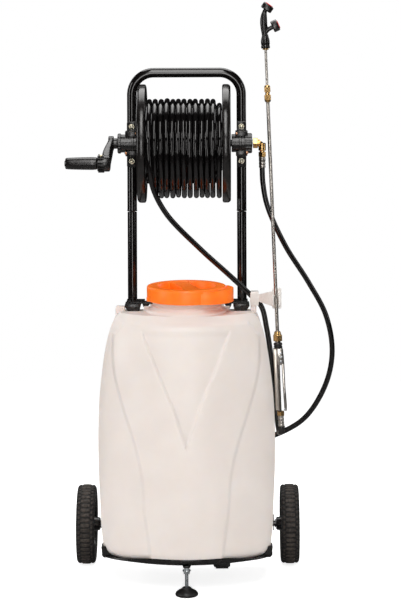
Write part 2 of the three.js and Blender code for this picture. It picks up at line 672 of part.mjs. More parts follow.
function buildControls() {
  const rocker = new THREE.Shape();
  rocker.moveTo(-6, -12);
  rocker.lineTo(8, -12);
  rocker.quadraticCurveTo(5.5, 0, 8, 12);
  rocker.lineTo(-6, 12);
  rocker.closePath();
  const tilt = new THREE.Group();
  tilt.position.set(-60, 4, CONTROLS_Z);
  tilt.rotation.x = -radians(9);
  cart.add(tilt);
  add("power_switch", beam(rocker, -10, 10, 4), RED, tilt);
  const knob = turned([
    [0, 0], [4, 0], [4, 9.5], [15, 9.5], [17, 11], [15.5, 23], [13.5, 25], [0, 25],
  ], Y, [0, 0, CONTROLS_Z], 18);
  const pointer = block([-1.5, 20, CONTROLS_Z], [1.5, 26.5, CONTROLS_Z + 14]);
  add("flow_knob", join(knob, pointer), BLACK_PLASTIC);
  const socket = turned([
    [3, -4], [7.6, -4], [7.6, 9.3], [11, 9.3], [11, 12], [9, 13], [3, 13], [3, -4],
  ], Y, [60, 0, CONTROLS_Z], 16);
  add("charge_socket", socket, GREY_PLASTIC);
}

// ---------------------------------------------------------------- reel

function buildBearing(side, inner, outer, collar) {
  const sign = Math.sign(inner);
  const x = sign * TUBE_X;
  const strap = plate(roundedRectangle(x - 11, 911, x + 11, 1016, 4), -19, -TUBE_R - GAP, 2);
  const profile = [
    [SHAFT_R + GAP, inner], [20.5, inner], [20.5, collar], [22, collar], [22, outer],
    [SHAFT_R + GAP, outer], [SHAFT_R + GAP, inner],
  ];
  const barrel = turned(profile, X, [0, REEL_Y, REEL_Z], 20);
  const saddle = block([x - 14, REEL_Y - 12, REEL_Z + 13], [x + 14, -14, REEL_Z + 28]);
  const shaftRoom = rod([-300, REEL_Y, REEL_Z], [300, REEL_Y, REEL_Z], SHAFT_R + GAP, 20);
  const holes = BEARING_BOLTS_Z.map((z) => rod([x, -30, z], [x, 0, z], 3, 8));
  add(`bearing_${side}`, cut(join(strap, barrel, saddle), shaftRoom, ...holes), BLACK_PLASTIC);
  BEARING_BOLTS_Z.forEach((z, i) => {
    const dome = [[0, 26], [4, 26], [6.4, 23.5], [6.4, 19 + GAP], [0, 19 + GAP]];
    const head = turned(dome, Y.clone().negate(), [x, 0, z], 12);
    const shank = rod([x, -20, z], [x, -7, z], 2.5, 8);
    add(`bearing_bolt_${side}_${i === 0 ? "lower" : "upper"}`, join(head, shank), ZINC);
  });
}

function buildDrum() {
  const hubX = FLANGE_IN - GAP;
  const [left, right] = [REEL_X - hubX, REEL_X + hubX];
  const profile = [
    [0, -166], [SHAFT_R - 2, -166], [SHAFT_R - 2, -162], [SHAFT_R, -161], [SHAFT_R, left], [DRUM_R, left],
    [DRUM_R, right], [SHAFT_R, right], [SHAFT_R, 151], [0, 151],
  ];
  const drum = turned(profile, X, [0, REEL_Y, REEL_Z], 20);
  const pockets = [-1, 1].map((sign) =>
    sleeve(DRUM_R - 4, SHAFT_R + 6, 4, hubX + 1, vec(sign, 0, 0), [REEL_X, REEL_Y, REEL_Z], 20));
  add("reel_drum", cut(drum, ...pockets), BLACK_PLASTIC);
}

function buildFlange(side, sign) {
  const bore = SHAFT_R + GAP;
  const mid = (FLANGE_IN + FLANGE_OUT) / 2;
  const profile = [
    [bore, FLANGE_IN], [FLANGE_R - 4, FLANGE_IN], [FLANGE_R, FLANGE_IN + 3], [FLANGE_R, FLANGE_OUT - 5],
    [FLANGE_R - 5, FLANGE_OUT], [FLANGE_R - 10, FLANGE_OUT], [FLANGE_R - 12, mid], [30, mid],
    [26, FLANGE_OUT], [bore, FLANGE_OUT], [bore, FLANGE_IN],
  ];
  const disc = turned(profile, vec(sign, 0, 0), [REEL_X, REEL_Y, REEL_Z], 32);
  const windows = [];
  for (let i = 0; i < 8; i += 1) {
    const middle = (i * Math.PI) / 4 + Math.PI / 8;
    const half = Math.PI / 8 - 0.1;
    const gap = new THREE.Shape();
    gap.absarc(0, 0, 116, middle - half, middle + half);
    gap.absarc(0, 0, 70, middle + half - 0.06, middle - half + 0.06, true);
    const body = new THREE.ExtrudeGeometry(gap, { depth: 40, bevelEnabled: false, curveSegments: 1 });
    body.rotateY(Math.PI / 2).translate(REEL_X + sign * mid - 20, REEL_Y, REEL_Z);
    windows.push(solid(body));
  }
  add(`reel_flange_${side}`, cut(disc, ...windows), GREY_PLASTIC);
}

// The wound hose: layers on the drum under an outer layer whose turns lie side by side.
function buildCoil() {
  const half = (COIL_TURNS * COIL_PITCH) / 2;
  const profile = [[DRUM_R + GAP, -half]];
  for (let i = 0; i < COIL_TURNS; i += 1) {
    const middle = (i + 0.5) * COIL_PITCH - half;
    profile.push([COIL_R - 2, middle - COIL_PITCH / 2 + 0.01]);
    profile.push([COIL_R + HOSE_R, middle - 3]);
    profile.push([COIL_R + HOSE_R, middle + 3]);
  }
  profile.push([COIL_R - 2, half], [DRUM_R + GAP, half], [DRUM_R + GAP, -half]);
  add("hose_coil", turned(profile, X, [REEL_X, REEL_Y, REEL_Z], 20), HOSE_BLACK);
}

function buildCrank() {
  const drop = radians(CRANK_DROP);
  const gripY = REEL_Y - CRANK_LENGTH * Math.cos(drop);
  const gripZ = REEL_Z - CRANK_LENGTH * Math.sin(drop);
  const hub = rod([-162.3, REEL_Y, REEL_Z], [-170, REEL_Y, REEL_Z], 13, 16);
  const root = rod([-166, REEL_Y, REEL_Z], [-178.5, REEL_Y, REEL_Z], 17, 20);
  const eye = rod([-169, gripY, gripZ], [-199, gripY, gripZ], 21, 24);
  const arm = join(hub, Manifold.hull([root, eye]));
  const shaftHole = rod([-150, REEL_Y, REEL_Z], [-166 - GAP, REEL_Y, REEL_Z], SHAFT_R - 2 + GAP, 16);
  const pinHole = rod([-171.5, gripY, gripZ], [-205, gripY, gripZ], 4 + GAP, 14);
  const grip = turned([
    [5, 200], [13.6, 200], [14.2, 204], [13.7, 236], [12.8, 268], [12, 271.5], [5, 271.5], [5, 200],
  ], vec(-1, 0, 0), [0, gripY, gripZ], 20);
  const pin = join(
    rod([-172, gripY, gripZ], [-273, gripY, gripZ], 4, 12),
    rod([-271.8, gripY, gripZ], [-273.6, gripY, gripZ], 6.5, 12),
  );
  add("crank_arm", cut(arm, shaftHole, pinHole), BLACK_PLASTIC);
  add("crank_pin", pin, COPPER);
  add("crank_grip", grip, BLACK_PLASTIC);
}

function buildInlet() {
  const turnX = 173;
  const swivel = cut(
    rod([152, REEL_Y, REEL_Z], [166, REEL_Y, REEL_Z], 13, 6),
    rod([140, REEL_Y, REEL_Z], [170, REEL_Y, REEL_Z], 5, 10),
  );
  const bend = pipe([[152, REEL_Y, REEL_Z], [turnX, REEL_Y, REEL_Z], [turnX, REEL_Y, 946]], 10, 6, 0, 12);
  const hexagon = rod([turnX, REEL_Y, 936], [turnX, REEL_Y, 947], 9.5, 6);
  add("inlet_elbow", join(bend, swivel, hexagon), BRASS);
  add("supply_ferrule", sleeve(7.6, HOSE_R + GAP, 911, 936 - GAP, Z, [turnX, REEL_Y, 0], 16), STEEL);
}

// ---------------------------------------------------------------- hoses

function buildHoses() {
  add("supply_hose", hose([
    [173, REEL_Y, 935.5], [173, REEL_Y, 905], [174.5, REEL_Y, 875], [184.5, -32, 823], [225, -29, 732],
    [278, -22, 647], [318, -14, 570], [332.5, -5, 485], [317, 6, 406], [269, 17, 328], [204, 27, 288],
    [140, 32, 271], [98, 31, 252], [88, 30, 234], [88, 30, 222.5],
  ], 38), HOSE_BLACK);
  add("spray_hose", hose([
    [-85, -151.8, 975], [-84, -151.8, 950], [-80, -147, 912], [-73, -134, 872], [-43, -113, 812.5],
    [32.5, -95, 732], [95, -78, 673], [146, -62, 623], [169, -60, 598], [181, -62, 548],
    [191, -64, 480], [198, -67, 400], [203, -72, 356], [205, -80, 333], [208, -98, 320],
    [212.4, -116, 325], [212, -120, 335], [LANCE_X, LANCE_Y, LANCE_Z - 2 * GAP],
  ], 52), HOSE_BLACK);
}

// ---------------------------------------------------------------- lance

// Everything on the lance is built along its own axis, from the hose end upwards.
const lance = new THREE.Group();
lance.position.set(LANCE_X, LANCE_Y, LANCE_Z);
lance.rotation.y = -radians(LANCE_LEAN);
cart.add(lance);

const lanceX = (z) => LANCE_X - (z - LANCE_Z) * Math.tan(radians(LANCE_LEAN));

function buildTrigger() {
  add("hose_ferrule", join(
    rod([0, 0, 0], [0, 0, 17], 6.6, 14),
    rod([0, 0, 17], [0, 0, 26.7], 8.5, 6),
  ), STEEL, lance);
  const tube = rod([0, 0, 27], [0, 0, 169], 8, 14);
  const strap = block([-11, -9, 34], [-3, 9, 166]);
  const cheeks = block([-4, -9, 136], [11, 9, 166]);
  const slot = block([-3, -6.4, 20], [14, 6.4, 158]);
  const valve = rod([0, 0, 158], [0, 0, 184], 6, 14);
  const stem = rod([-6, 0, 27], [-6, 0, 160], 4, 12);
  const pinHole = rod([6, -20, 150], [6, 20, 150], 2 + GAP, 12);
  const body = join(cut(join(strap, cheeks), slot), cut(tube, slot), stem, valve);
  add("trigger_body", cut(body, pinHole), STEEL, lance);
  const shape = new THREE.Shape();
  shape.moveTo(2.5, 155);
  shape.lineTo(12, 155);
  shape.quadraticCurveTo(12.4, 100, 14, 62);
  shape.lineTo(14.2, 28);
  shape.lineTo(8.2, 28);
  shape.quadraticCurveTo(6.5, 100, 3.5, 140);
  shape.closePath();
  const lever = join(
    plate(shape, -6, 6, 5),
    rod([6, -9.4, 150], [6, 9.4, 150], 2, 12),
  );
  add("trigger_lever", lever, STEEL, lance);
  add("lance_collar", cut(
    turned([[0, 169.5], [9, 169.5], [10, 172], [10, 178], [9, 180.5], [0, 180.5]], Z, [0, 0, 0], 14),
    rod([0, 0, 160], [0, 0, 190], 6.4, 14),
  ), RUBBER, lance);
}

function buildTubes() {
  add("lance_nut", cut(
    join(rod([0, 0, 184.5], [0, 0, 198], 11.5, 6), rod([0, 0, 198], [0, 0, 206], 8, 14)),
    rod([0, 0, 180], [0, 0, 210], 4 + GAP, 14),
  ), BRASS, lance);
  add("lance_outer_tube", cut(
    rod([0, 0, 185], [0, 0, 721], 4, 14),
    rod([0, 0, 188], [0, 0, 730], 3.4, 14),
  ), STEEL, lance);
  const coupling = join(
    rod([0, 0, 721.5], [0, 0, 738], 8.5, 6),
    rod([0, 0, 737.9], [0, 0, 744.1], 6, 12),
    rod([0, 0, 744], [0, 0, 760], 8, 6),
  );
  add("lance_coupling", cut(coupling, rod([0, 0, 715], [0, 0, 770], 3.4, 14)), BRASS, lance);
  add("lance_inner_tube", rod([0, 0, 440], [0, 0, NOZZLE_FOOT + 12], 3, 12), STEEL, lance);
}

// A hexagonal spray cap on a branch of the nozzle, pointing along a direction in the X-Z plane.
function buildCap(name, [x, z], angle) {
  const way = vec(Math.cos(radians(angle)), 0, Math.sin(radians(angle)));
  const cup = turned([
    [4.6, -8.5], [12, -8.5], [13.2, -6], [13.2, 6], [11.5, 8.5], [2, 8.5], [2, 4], [4.6, 4], [4.6, -8.5],
  ], way, [x, 0, z], 6);
  add(name, cup, BLACK_PLASTIC, lance);
}

function buildNozzle() {
  const top = [8, NOZZLE_FOOT + 92];
  const side = [24.5, NOZZLE_FOOT + 50];
  const [topAngle, sideAngle] = [52, 22];
  const nib = ([x, z], angle, from, to, r) => {
    const [dx, dz] = [Math.cos(radians(angle)), Math.sin(radians(angle))];
    return rod([x + dx * from, 0, z + dz * from], [x + dx * to, 0, z + dz * to], r, 10);
  };
  const foot = NOZZLE_FOOT;
  const collar = turned([
    [0, foot], [10, foot], [10, foot + 20], [8, foot + 27], [6.5, foot + 31], [0, foot + 31],
  ], Z, [0, 0, 0], 16);
  const stemPath = new THREE.CatmullRomCurve3([
    vec(0, 0, foot + 28), vec(-1.8, 0, foot + 46), vec(-1.8, 0, foot + 66),
    vec(top[0] - 14 * Math.cos(radians(topAngle)), 0, top[1] - 14 * Math.sin(radians(topAngle))),
  ]);
  const stem = swept(stemPath, 6, 6.5, 0, 10);
  const branchPath = new THREE.CatmullRomCurve3([
    vec(-2, 0, foot + 33), vec(7, 0, foot + 43),
    vec(side[0] - 11 * Math.cos(radians(sideAngle)), 0, side[1] - 11 * Math.sin(radians(sideAngle))),
  ]);
  const branch = swept(branchPath, 4, 4.8, 0, 10);
  const necks = [nib(top, topAngle, -14, 3.6, 3.5), nib(side, sideAngle, -13, 3.6, 3.5)];
  const socket = rod([0, 0, foot - 5], [0, 0, foot + 12.4], 3 + GAP, 12);
  add("nozzle_body", cut(join(collar, stem, branch, ...necks), socket), BLACK_PLASTIC, lance);
  buildCap("nozzle_cap_top", top, topAngle);
  buildCap("nozzle_cap_side", side, sideAngle);
}

function buildLanceHolder() {
  const x = lanceX(620);
  const base = block([144, -74, 601.3], [163, -46, 632]);
  const arm = block([160, -74, 612], [194, -68, 626]);
  const reach = block([188, -108, 612], [195, -68, 626]);
  const clip = block([188, -108, 602], [x + 12, -103, 648]);
  const jaws = [-7, 7].map((off) => block([x + off - 1.5, -126, 612], [x + off + 1.5, -104, 630]));
  const lanceRoom = rod([lanceX(560), LANCE_Y, 560], [lanceX(700), LANCE_Y, 700], 4 + GAP, 14);
  const hosePath = [[95, -78, 673], [146, -62, 623], [169, -60, 598], [181, -62, 548]];
  const hoseCurve = new THREE.CatmullRomCurve3(hosePath.map((point) => vec(...point)), false, "centripetal");
  const hoseRoom = swept(hoseCurve, 10, HOSE_R + 2, 0, 10);
  const screws = [-55, -67].map((y) => rod([151.5, y, 590], [151.5, y, 602], 2, 6));
  const holder = cut(join(base, arm, reach, clip, ...jaws, ...screws), lanceRoom, hoseRoom);
  add("lance_holder", holder, CLEAR_WHITE);
}

// ---------------------------------------------------------------- build

buildHandleFrame();
buildLowerFrame();
buildFrameScrews();
buildAxle();
for (const [side, sign] of WHEEL_SIDES) {
  buildWheel(side, sign);
  buildCotter(side, sign);
  buildFlange(side, sign);
}
buildTank();
buildStrainer();
buildLid();
buildYoke();
buildTray();
buildFoot();
buildDrainPlug();
buildRearCover();
buildPump();
buildControls();
buildBearing("left", -112, -160, -150);
buildBearing("right", 103, 150, 133);
buildDrum();
buildCoil();
buildCrank();
buildInlet();
buildHoses();
buildTrigger();
buildTubes();
buildNozzle();
buildLanceHolder();

export default cart;
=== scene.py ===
"""The wheeled sprayer cart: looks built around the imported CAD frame."""
import json
import math

import bmesh
import bpy
from mathutils import Matrix, Vector, noise

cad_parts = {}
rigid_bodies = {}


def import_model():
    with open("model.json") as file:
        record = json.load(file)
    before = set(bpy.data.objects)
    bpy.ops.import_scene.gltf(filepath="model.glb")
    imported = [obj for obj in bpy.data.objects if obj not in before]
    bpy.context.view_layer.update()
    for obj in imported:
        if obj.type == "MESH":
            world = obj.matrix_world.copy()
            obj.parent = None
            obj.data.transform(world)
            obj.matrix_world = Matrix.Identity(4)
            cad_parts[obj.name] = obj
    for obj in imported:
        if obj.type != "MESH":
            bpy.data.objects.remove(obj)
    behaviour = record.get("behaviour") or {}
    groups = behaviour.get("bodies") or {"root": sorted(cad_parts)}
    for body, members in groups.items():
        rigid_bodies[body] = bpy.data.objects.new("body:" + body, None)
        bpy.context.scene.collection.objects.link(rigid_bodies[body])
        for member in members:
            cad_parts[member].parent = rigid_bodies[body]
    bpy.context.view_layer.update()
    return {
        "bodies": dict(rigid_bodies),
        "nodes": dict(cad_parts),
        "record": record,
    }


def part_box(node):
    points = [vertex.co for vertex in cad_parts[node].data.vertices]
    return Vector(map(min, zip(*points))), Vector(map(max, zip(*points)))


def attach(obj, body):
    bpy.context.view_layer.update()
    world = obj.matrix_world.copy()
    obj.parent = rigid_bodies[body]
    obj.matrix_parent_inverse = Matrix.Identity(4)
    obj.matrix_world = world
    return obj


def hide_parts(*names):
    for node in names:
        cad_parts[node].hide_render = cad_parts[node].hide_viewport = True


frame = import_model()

MM = 0.001
AXLE_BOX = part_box("axle")
AXLE = Vector((0, (AXLE_BOX[0].y + AXLE_BOX[1].y) / 2, 0))  # ground point under the axle, metres
BODY = {node: body for body, nodes in frame["record"]["behaviour"]["bodies"].items() for node in nodes}

# ---- dimensions, millimetres
# Measured from the ground point under the middle of the axle: +X lance side, -Y front, +Z up.

TUBE_X, TUBE_R = 126, 11
HANDLE_Z, HANDLE_BEND = 1127, 50
SPLIT_Z, SCREW_Z = 809, 839
RUNNER_Z, RUNNER_BEND, CROSS_Y = 54, 45, -150
WHEEL_X, WHEEL_R, AXLE_Z = 233, 89, 89
TYRE_HALF, TYRE_SHOULDER, TYRE_CROWN, RIM_SEAT = 21, 7.5, 1.2, 62
TREAD_LUGS, TREAD_DEPTH, TREAD_WALL = 48, 2.0, 7
WEB_HOLES, WEB_HOLE_CIRCLE, WEB_HOLE_R = 6, 39, 11.5
REEL_X, REEL_Y, REEL_Z = -5, -33, 967
FLANGE_R, FLANGE_IN, FLANGE_OUT = 135, 87, 106
COIL_R, COIL_TURNS, COIL_PITCH, HOSE_R = 104.5, 13, 13.2, 6
COIL_TIGHT, COIL_SAG = 8.5, 14.5
UNDER_R, UNDER_PITCH, LOOP_STEPS = 86, 12.4, 72
CRANK_LENGTH, CRANK_DROP = 91.5, math.radians(24.5)
LID_Y, LID_R, LID_BOTTOM, LID_TOP = -130, 89, 624.5, 656.5
GRIP_TURN, GRIP_HALF = math.radians(15), 65.4
TANK_BOTTOM, TANK_FRONT, TANK_BACK = 69, -273, -15
NECK_R, NECK_TOP = 76, 645
LANCE = Vector((211.6, -120, 345))
LEAN = math.radians(2.15)
NOZZLE_FOOT = 842.5
CAP_TOP_TILT, CAP_SIDE_TILT = math.radians(52), math.radians(22)
FOOT_Y = -266
CONTROLS_Z = 262
SLEEVE_EDGE = 0.6
DRAIN_X, DRAIN_Y = 77, -205
TRAY_Z = 65.3

X, Y, Z = Vector((1, 0, 0)), Vector((0, 1, 0)), Vector((0, 0, 1))
ON_LANCE = Matrix.Translation(LANCE) @ Matrix.Rotation(-LEAN, 4, "Y")

# ---- shells: (vertices, faces)


def merge(*shells):
    verts, faces = [], []
    for v, f in shells:
        base = len(verts)
        verts += [Vector(p) for p in v]
        faces += [[i + base for i in face] for face in f]
    return verts, faces


def moved(shell, matrix):
    return [matrix @ Vector(p) for p in shell[0]], shell[1]


def lathe(profile, axis, centre=(0, 0, 0), n=48, turn=0.0):
    """A turned shell; profile points are (radius, distance along the axis)."""
    a = Vector(axis).normalized()
    u = (Z if abs(a.z) < 0.9 else X).cross(a).normalized()
    w = a.cross(u)
    closed = profile[0] == profile[-1]
    verts, rings = [], []
    for r, d in profile[:-1] if closed else profile:
        middle = Vector(centre) + a * d
        if r < 1e-6:
            rings.append([len(verts)])
            verts.append(middle)
            continue
        rings.append(list(range(len(verts), len(verts) + n)))
        for i in range(n):
            t = turn + 2 * math.pi * i / n
            verts.append(middle + (u * math.cos(t) + w * math.sin(t)) * r)
    faces = []
    pairs = list(zip(rings, rings[1:]))
    if closed:
        pairs.append((rings[-1], rings[0]))
    for p, q in pairs:
        for i in range(n):
            j = (i + 1) % n
            if len(p) == 1 and len(q) > 1:
                faces.append([p[0], q[j], q[i]])
            elif len(q) == 1 and len(p) > 1:
                faces.append([p[i], p[j], q[0]])
            elif len(p) > 1:
                faces.append([p[i], p[j], q[j], q[i]])
    if not closed:
        faces += [ring for ring in (rings[0], rings[-1]) if len(ring) > 1]
    return verts, faces


def rod(start, end, radius, n=24):
    way = Vector(end) - Vector(start)
    return lathe([(radius, 0), (radius, way.length)], way, start, n)


def sweep(points, radius, n=16, flat=None, up=None):
    """A section carried along a path. radius may change; flat scales the section along up."""
    pts = [Vector(p) for p in points]
    last = len(pts) - 1
    radii = radius if isinstance(radius, (list, tuple)) else [radius] * len(pts)
    verts, faces = [], []
    normal = None
    for k, p in enumerate(pts):
        tangent = (pts[min(k + 1, last)] - pts[max(k - 1, 0)]).normalized()
        if normal is None:
            seed = Vector(up) if up else (Z if abs(tangent.z) < 0.8 else X)
            normal = seed
        if up:
            normal = Vector(up)
        normal = (normal - tangent * normal.dot(tangent)).normalized()
        side = tangent.cross(normal)
        squeeze = flat[k] if flat else 1.0
        for i in range(n):
            t = 2 * math.pi * i / n
            verts.append(p + (normal * math.cos(t) * squeeze + side * math.sin(t)) * radii[k])
    for k in range(last):
        for i in range(n):
            j = (i + 1) % n
            faces.append([k * n + i, k * n + j, (k + 1) * n + j, (k + 1) * n + i])
    faces.append(list(range(n)))
    faces.append(list(range(last * n, last * n + n)))
    return verts, faces


def spline(points, steps=10):
    """A centripetal Catmull-Rom curve through the points."""
    pts = [Vector(p) for p in points]
    pts = [2 * pts[0] - pts[1]] + pts + [2 * pts[-1] - pts[-2]]
    out = []
    for a, b, c, d in zip(pts, pts[1:], pts[2:], pts[3:]):
        ta = 0.0
        tb = ta + max((b - a).length, 1e-4) ** 0.5
        tc = tb + max((c - b).length, 1e-4) ** 0.5
        td = tc + max((d - c).length, 1e-4) ** 0.5
        for i in range(steps):
            t = tb + (tc - tb) * i / steps
            ab = a.lerp(b, (t - ta) / (tb - ta))
            bc = b.lerp(c, (t - tb) / (tc - tb))
            cd = c.lerp(d, (t - tc) / (td - tc))
            left = ab.lerp(bc, (t - ta) / (tc - ta))
            right = bc.lerp(cd, (t - tb) / (td - tb))
            out.append(left.lerp(right, (t - tb) / (tc - tb)))
    return out + [pts[-2]]


def bent(corners, bend, arc_steps=14, spacing=60):
    """Straight runs joined by arcs."""
    pts = [Vector(c) for c in corners]
    out = [pts[0]]
    for a, b, c in zip(pts, pts[1:], pts[2:]):
        into, away = (b - a).normalized(), (c - b).normalized()
        turn = into.angle(away)
        axis = into.cross(away).normalized()
        inward = axis.cross(into)
        start = b - into * bend * math.tan(turn / 2)
        run = (start - out[-1]).length
        for i in range(1, int(run / spacing)):
            out.append(out[-1] + into * spacing)
        for i in range(arc_steps + 1):
            t = turn * i / arc_steps
            out.append(start + into * bend * math.sin(t) + inward * bend * (1 - math.cos(t)))
    out.append(pts[-1])
    return out


def prism(outline, low, high, plane="XZ"):
    """An outline in a plane, given a thickness from low to high across it."""
    spots = {
        "XZ": lambda p, q, d: Vector((p, d, q)), "YZ": lambda p, q, d: Vector((d, p, q)), "XY": lambda p,
        q, d: Vector((p, q, d)),
    }[plane]
    n = len(outline)
    verts = [spots(p, q, low) for p, q in outline] + [spots(p, q, high) for p, q in outline]
    faces = [list(range(n)), list(range(n, 2 * n))]
    faces += [[i, (i + 1) % n, n + (i + 1) % n, n + i] for i in range(n)]
    return verts, faces


def block(low, high):
    (x0, y0, z0), (x1, y1, z1) = low, high
    return prism([(x0, z0), (x1, z0), (x1, z1), (x0, z1)], y0, y1)


def rounded(x0, z0, x1, z1, r, steps=6):
    corners = [(x1 - r, z0 + r, -90), (x1 - r, z1 - r, 0), (x0 + r, z1 - r, 90), (x0 + r, z0 + r, 180)]
    out = []
    for cx, cz, start in corners:
        for i in range(steps + 1):
            t = math.radians(start + 90 * i / steps)
            out.append((cx + r * math.cos(t), cz + r * math.sin(t)))
    return out


def loft(rings):
    """A closed shell through rings that have the same number of points."""
    n = len(rings[0])
    verts = [Vector(p) for ring in rings for p in ring]
    faces = []
    for k in range(len(rings) - 1):
        for i in range(n):
            j = (i + 1) % n
            faces.append([k * n + i, k * n + j, (k + 1) * n + j, (k + 1) * n + i])
    faces.append(list(range(n)))
    faces.append(list(range((len(rings) - 1) * n, len(rings) * n)))
    return verts, faces


def sleeve(outer, inner, low, high, axis, centre, n=48):
    return lathe([
        (inner, low), (outer - SLEEVE_EDGE, low), (outer, low + SLEEVE_EDGE), (outer, high - SLEEVE_EDGE),
        (outer - SLEEVE_EDGE, high), (inner, high), (inner, low),
    ], axis, centre, n)


def hexagon(centre, axis, radius, low, high, edge=1.0):
    """A hexagon nut with its corners eased, as a turned six-sided shell."""
    return lathe([
        (0, low), (radius - edge, low), (radius, low + edge * 0.6), (radius, high - edge * 0.6),
        (radius - edge, high), (0, high),
    ], axis, centre, 6)


# ---- pieces


def raw_object(name, shell):
    mesh = bpy.data.meshes.new(name)
    mesh.from_pydata([AXLE + Vector(p) * MM for p in shell[0]], [], shell[1])
    bm = bmesh.new()
    bm.from_mesh(mesh)
    bmesh.ops.recalc_face_normals(bm, faces=bm.faces)
    bm.to_mesh(mesh)
    bm.free()
    obj = bpy.data.objects.new(name, mesh)
    bpy.context.scene.collection.objects.link(obj)
    return obj


def settle(obj):
    """Turns the modifiers into plain mesh."""
    bpy.context.view_layer.update()
    graph = bpy.context.evaluated_depsgraph_get()
    mesh = bpy.data.meshes.new_from_object(obj.evaluated_get(graph))
    obj.modifiers.clear()
    obj.data = mesh


def boolean(obj, shell, operation):
    other = raw_object("tool", shell)
    change = obj.modifiers.new("cut", "BOOLEAN")
    change.operation = operation
    change.solver = "EXACT"
    change.object = other
    settle(obj)
    bpy.data.objects.remove(other)


def piece(name, shell, look, *nodes, bevel=0.0, sharp=38, add=(), cut=(), rides=None):
    """One visible piece, standing for the CAD nodes or only riding with the node that rides names."""
    obj = raw_object(name, shell)
    for extra in add:
        boolean(obj, extra, "UNION")
    for hole in cut:
        boolean(obj, hole, "DIFFERENCE")
    if bevel:
        edge = obj.modifiers.new("edge", "BEVEL")
        edge.width = bevel * MM
        edge.segments = 2
        edge.limit_method = "ANGLE"
        edge.angle_limit = math.radians(30)
        settle(obj)
    obj.data.shade_smooth()
    obj.data.set_sharp_from_angle(angle=math.radians(sharp))
    obj.data.materials.clear()
    obj.data.materials.append(look)
    owner = nodes[0] if nodes else rides
    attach(obj, BODY[owner])
    if nodes:
        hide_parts(*nodes)
    return obj


# ---- materials


class Look:
    """A node material being put together."""

    def __init__(self, name):
        self.material = bpy.data.materials.new(name)
        self.material.use_nodes = True
        self.tree = self.material.node_tree
        self.shader = self.tree.nodes["Principled BSDF"]
        self.place = self.node("ShaderNodeTexCoord").outputs["Object"]

    def node(self, kind, **settings):
        made = self.tree.nodes.new(kind)
        for key, value in settings.items():
            setattr(made, key, value)
        return made

    def link(self, source, target):
        self.tree.links.new(source, target)

    def stretched(self, scale):
        mapping = self.node("ShaderNodeMapping")
        mapping.inputs["Scale"].default_value = scale
        self.link(self.place, mapping.inputs["Vector"])
        return mapping.outputs["Vector"]

    def noise(self, size, detail=3.0, stretch=(1, 1, 1), distortion=0.0):
        """Noise whose features are about size millimetres."""
        made = self.node("ShaderNodeTexNoise")
        made.inputs["Scale"].default_value = 1 / (size * MM)
        made.inputs["Detail"].default_value = detail
        made.inputs["Distortion"].default_value = distortion
        self.link(self.stretched(stretch), made.inputs["Vector"])
        return made.outputs["Fac"]

    def between(self, value, low, high, to_low, to_high):
        made = self.node("ShaderNodeMapRange", interpolation_type="SMOOTHSTEP")
        self.link(value, made.inputs["Value"])
        numbers = ("From Min", low), ("From Max", high), ("To Min", to_low), ("To Max", to_high)
        for key, number in numbers:
            made.inputs[key].default_value = number
        return made.outputs["Result"]

    def blend(self, factor, first, second):
        made = self.node("ShaderNodeMix", data_type="RGBA")
        self.link(factor, made.inputs["Factor"])
        for slot, colour in (("A", first), ("B", second)):
            spot = [s for s in made.inputs if s.name == slot and s.type == "RGBA"][0]
            if isinstance(colour, tuple):
                spot.default_value = (*colour, 1)
            else:
                self.link(colour, spot)
        return [s for s in made.outputs if s.type == "RGBA"][0]

    def bump(self, height, distance, strength=1.0):
        made = self.node("ShaderNodeBump")
        made.inputs["Distance"].default_value = distance * MM
        made.inputs["Strength"].default_value = strength
        self.link(height, made.inputs["Height"])
        previous = self.shader.inputs["Normal"]
        if previous.is_linked:
            self.link(previous.links[0].from_socket, made.inputs["Normal"])
        self.link(made.outputs["Normal"], previous)

    def set(self, **values):
        for key, value in values.items():
            spot = self.shader.inputs[key.replace("_", " ")]
            if hasattr(value, "links"):
                self.link(value, spot)
            elif spot.type == "RGBA":
                spot.default_value = (*value, 1)
            else:
                spot.default_value = value
        return self.material


def plain_look(name, dark, light, rough, blotch=30, grain=0.8, depth=0.02):
    """Moulded or painted stuff: two close colours, uneven roughness and a fine grain."""
    look = Look(name)
    patch = look.noise(blotch, 4)
    look.set(
        Base_Color=look.blend(look.between(patch, 0.35, 0.65, 0, 1), dark, light),
        Roughness=look.between(look.noise(blotch / 3, 5), 0.3, 0.7, rough[0], rough[1]),
    )
    look.bump(look.noise(grain, 2), depth)
    return look.material


def tank_plastic():
    look = Look("tank_plastic")
    cloud = look.between(look.noise(90, 3), 0.3, 0.7, 0, 1)
    milk = look.blend(cloud, (0.748, 0.684, 0.644), (0.778, 0.718, 0.680))
    # Painted reflection: near the neck the milk plastic is mixed towards orange, standing in for the
    # orange light the lid throws on the tank.
    spot = look.node("ShaderNodeSeparateXYZ")
    look.link(look.place, spot.inputs["Vector"])
    lid_light_mask = look.between(spot.outputs["Z"], 0.604, 0.64, 0, 0.42)
    milk_and_lid_light = look.blend(lid_light_mask, milk, (0.95, 0.46, 0.26))
    look.set(
        Base_Color=milk_and_lid_light, Roughness=look.between(look.noise(14, 4), 0.3, 0.7, 0.34, 0.46), IOR=1.5,
        Subsurface_Weight=0.35, Subsurface_Radius=(1.0, 0.75, 0.55), Subsurface_Scale=0.012,
        Specular_IOR_Level=0.4,
    )
    look.bump(look.noise(45, 2), 0.35, 0.5)
    look.bump(look.noise(1.4, 2), 0.012)
    return look.material


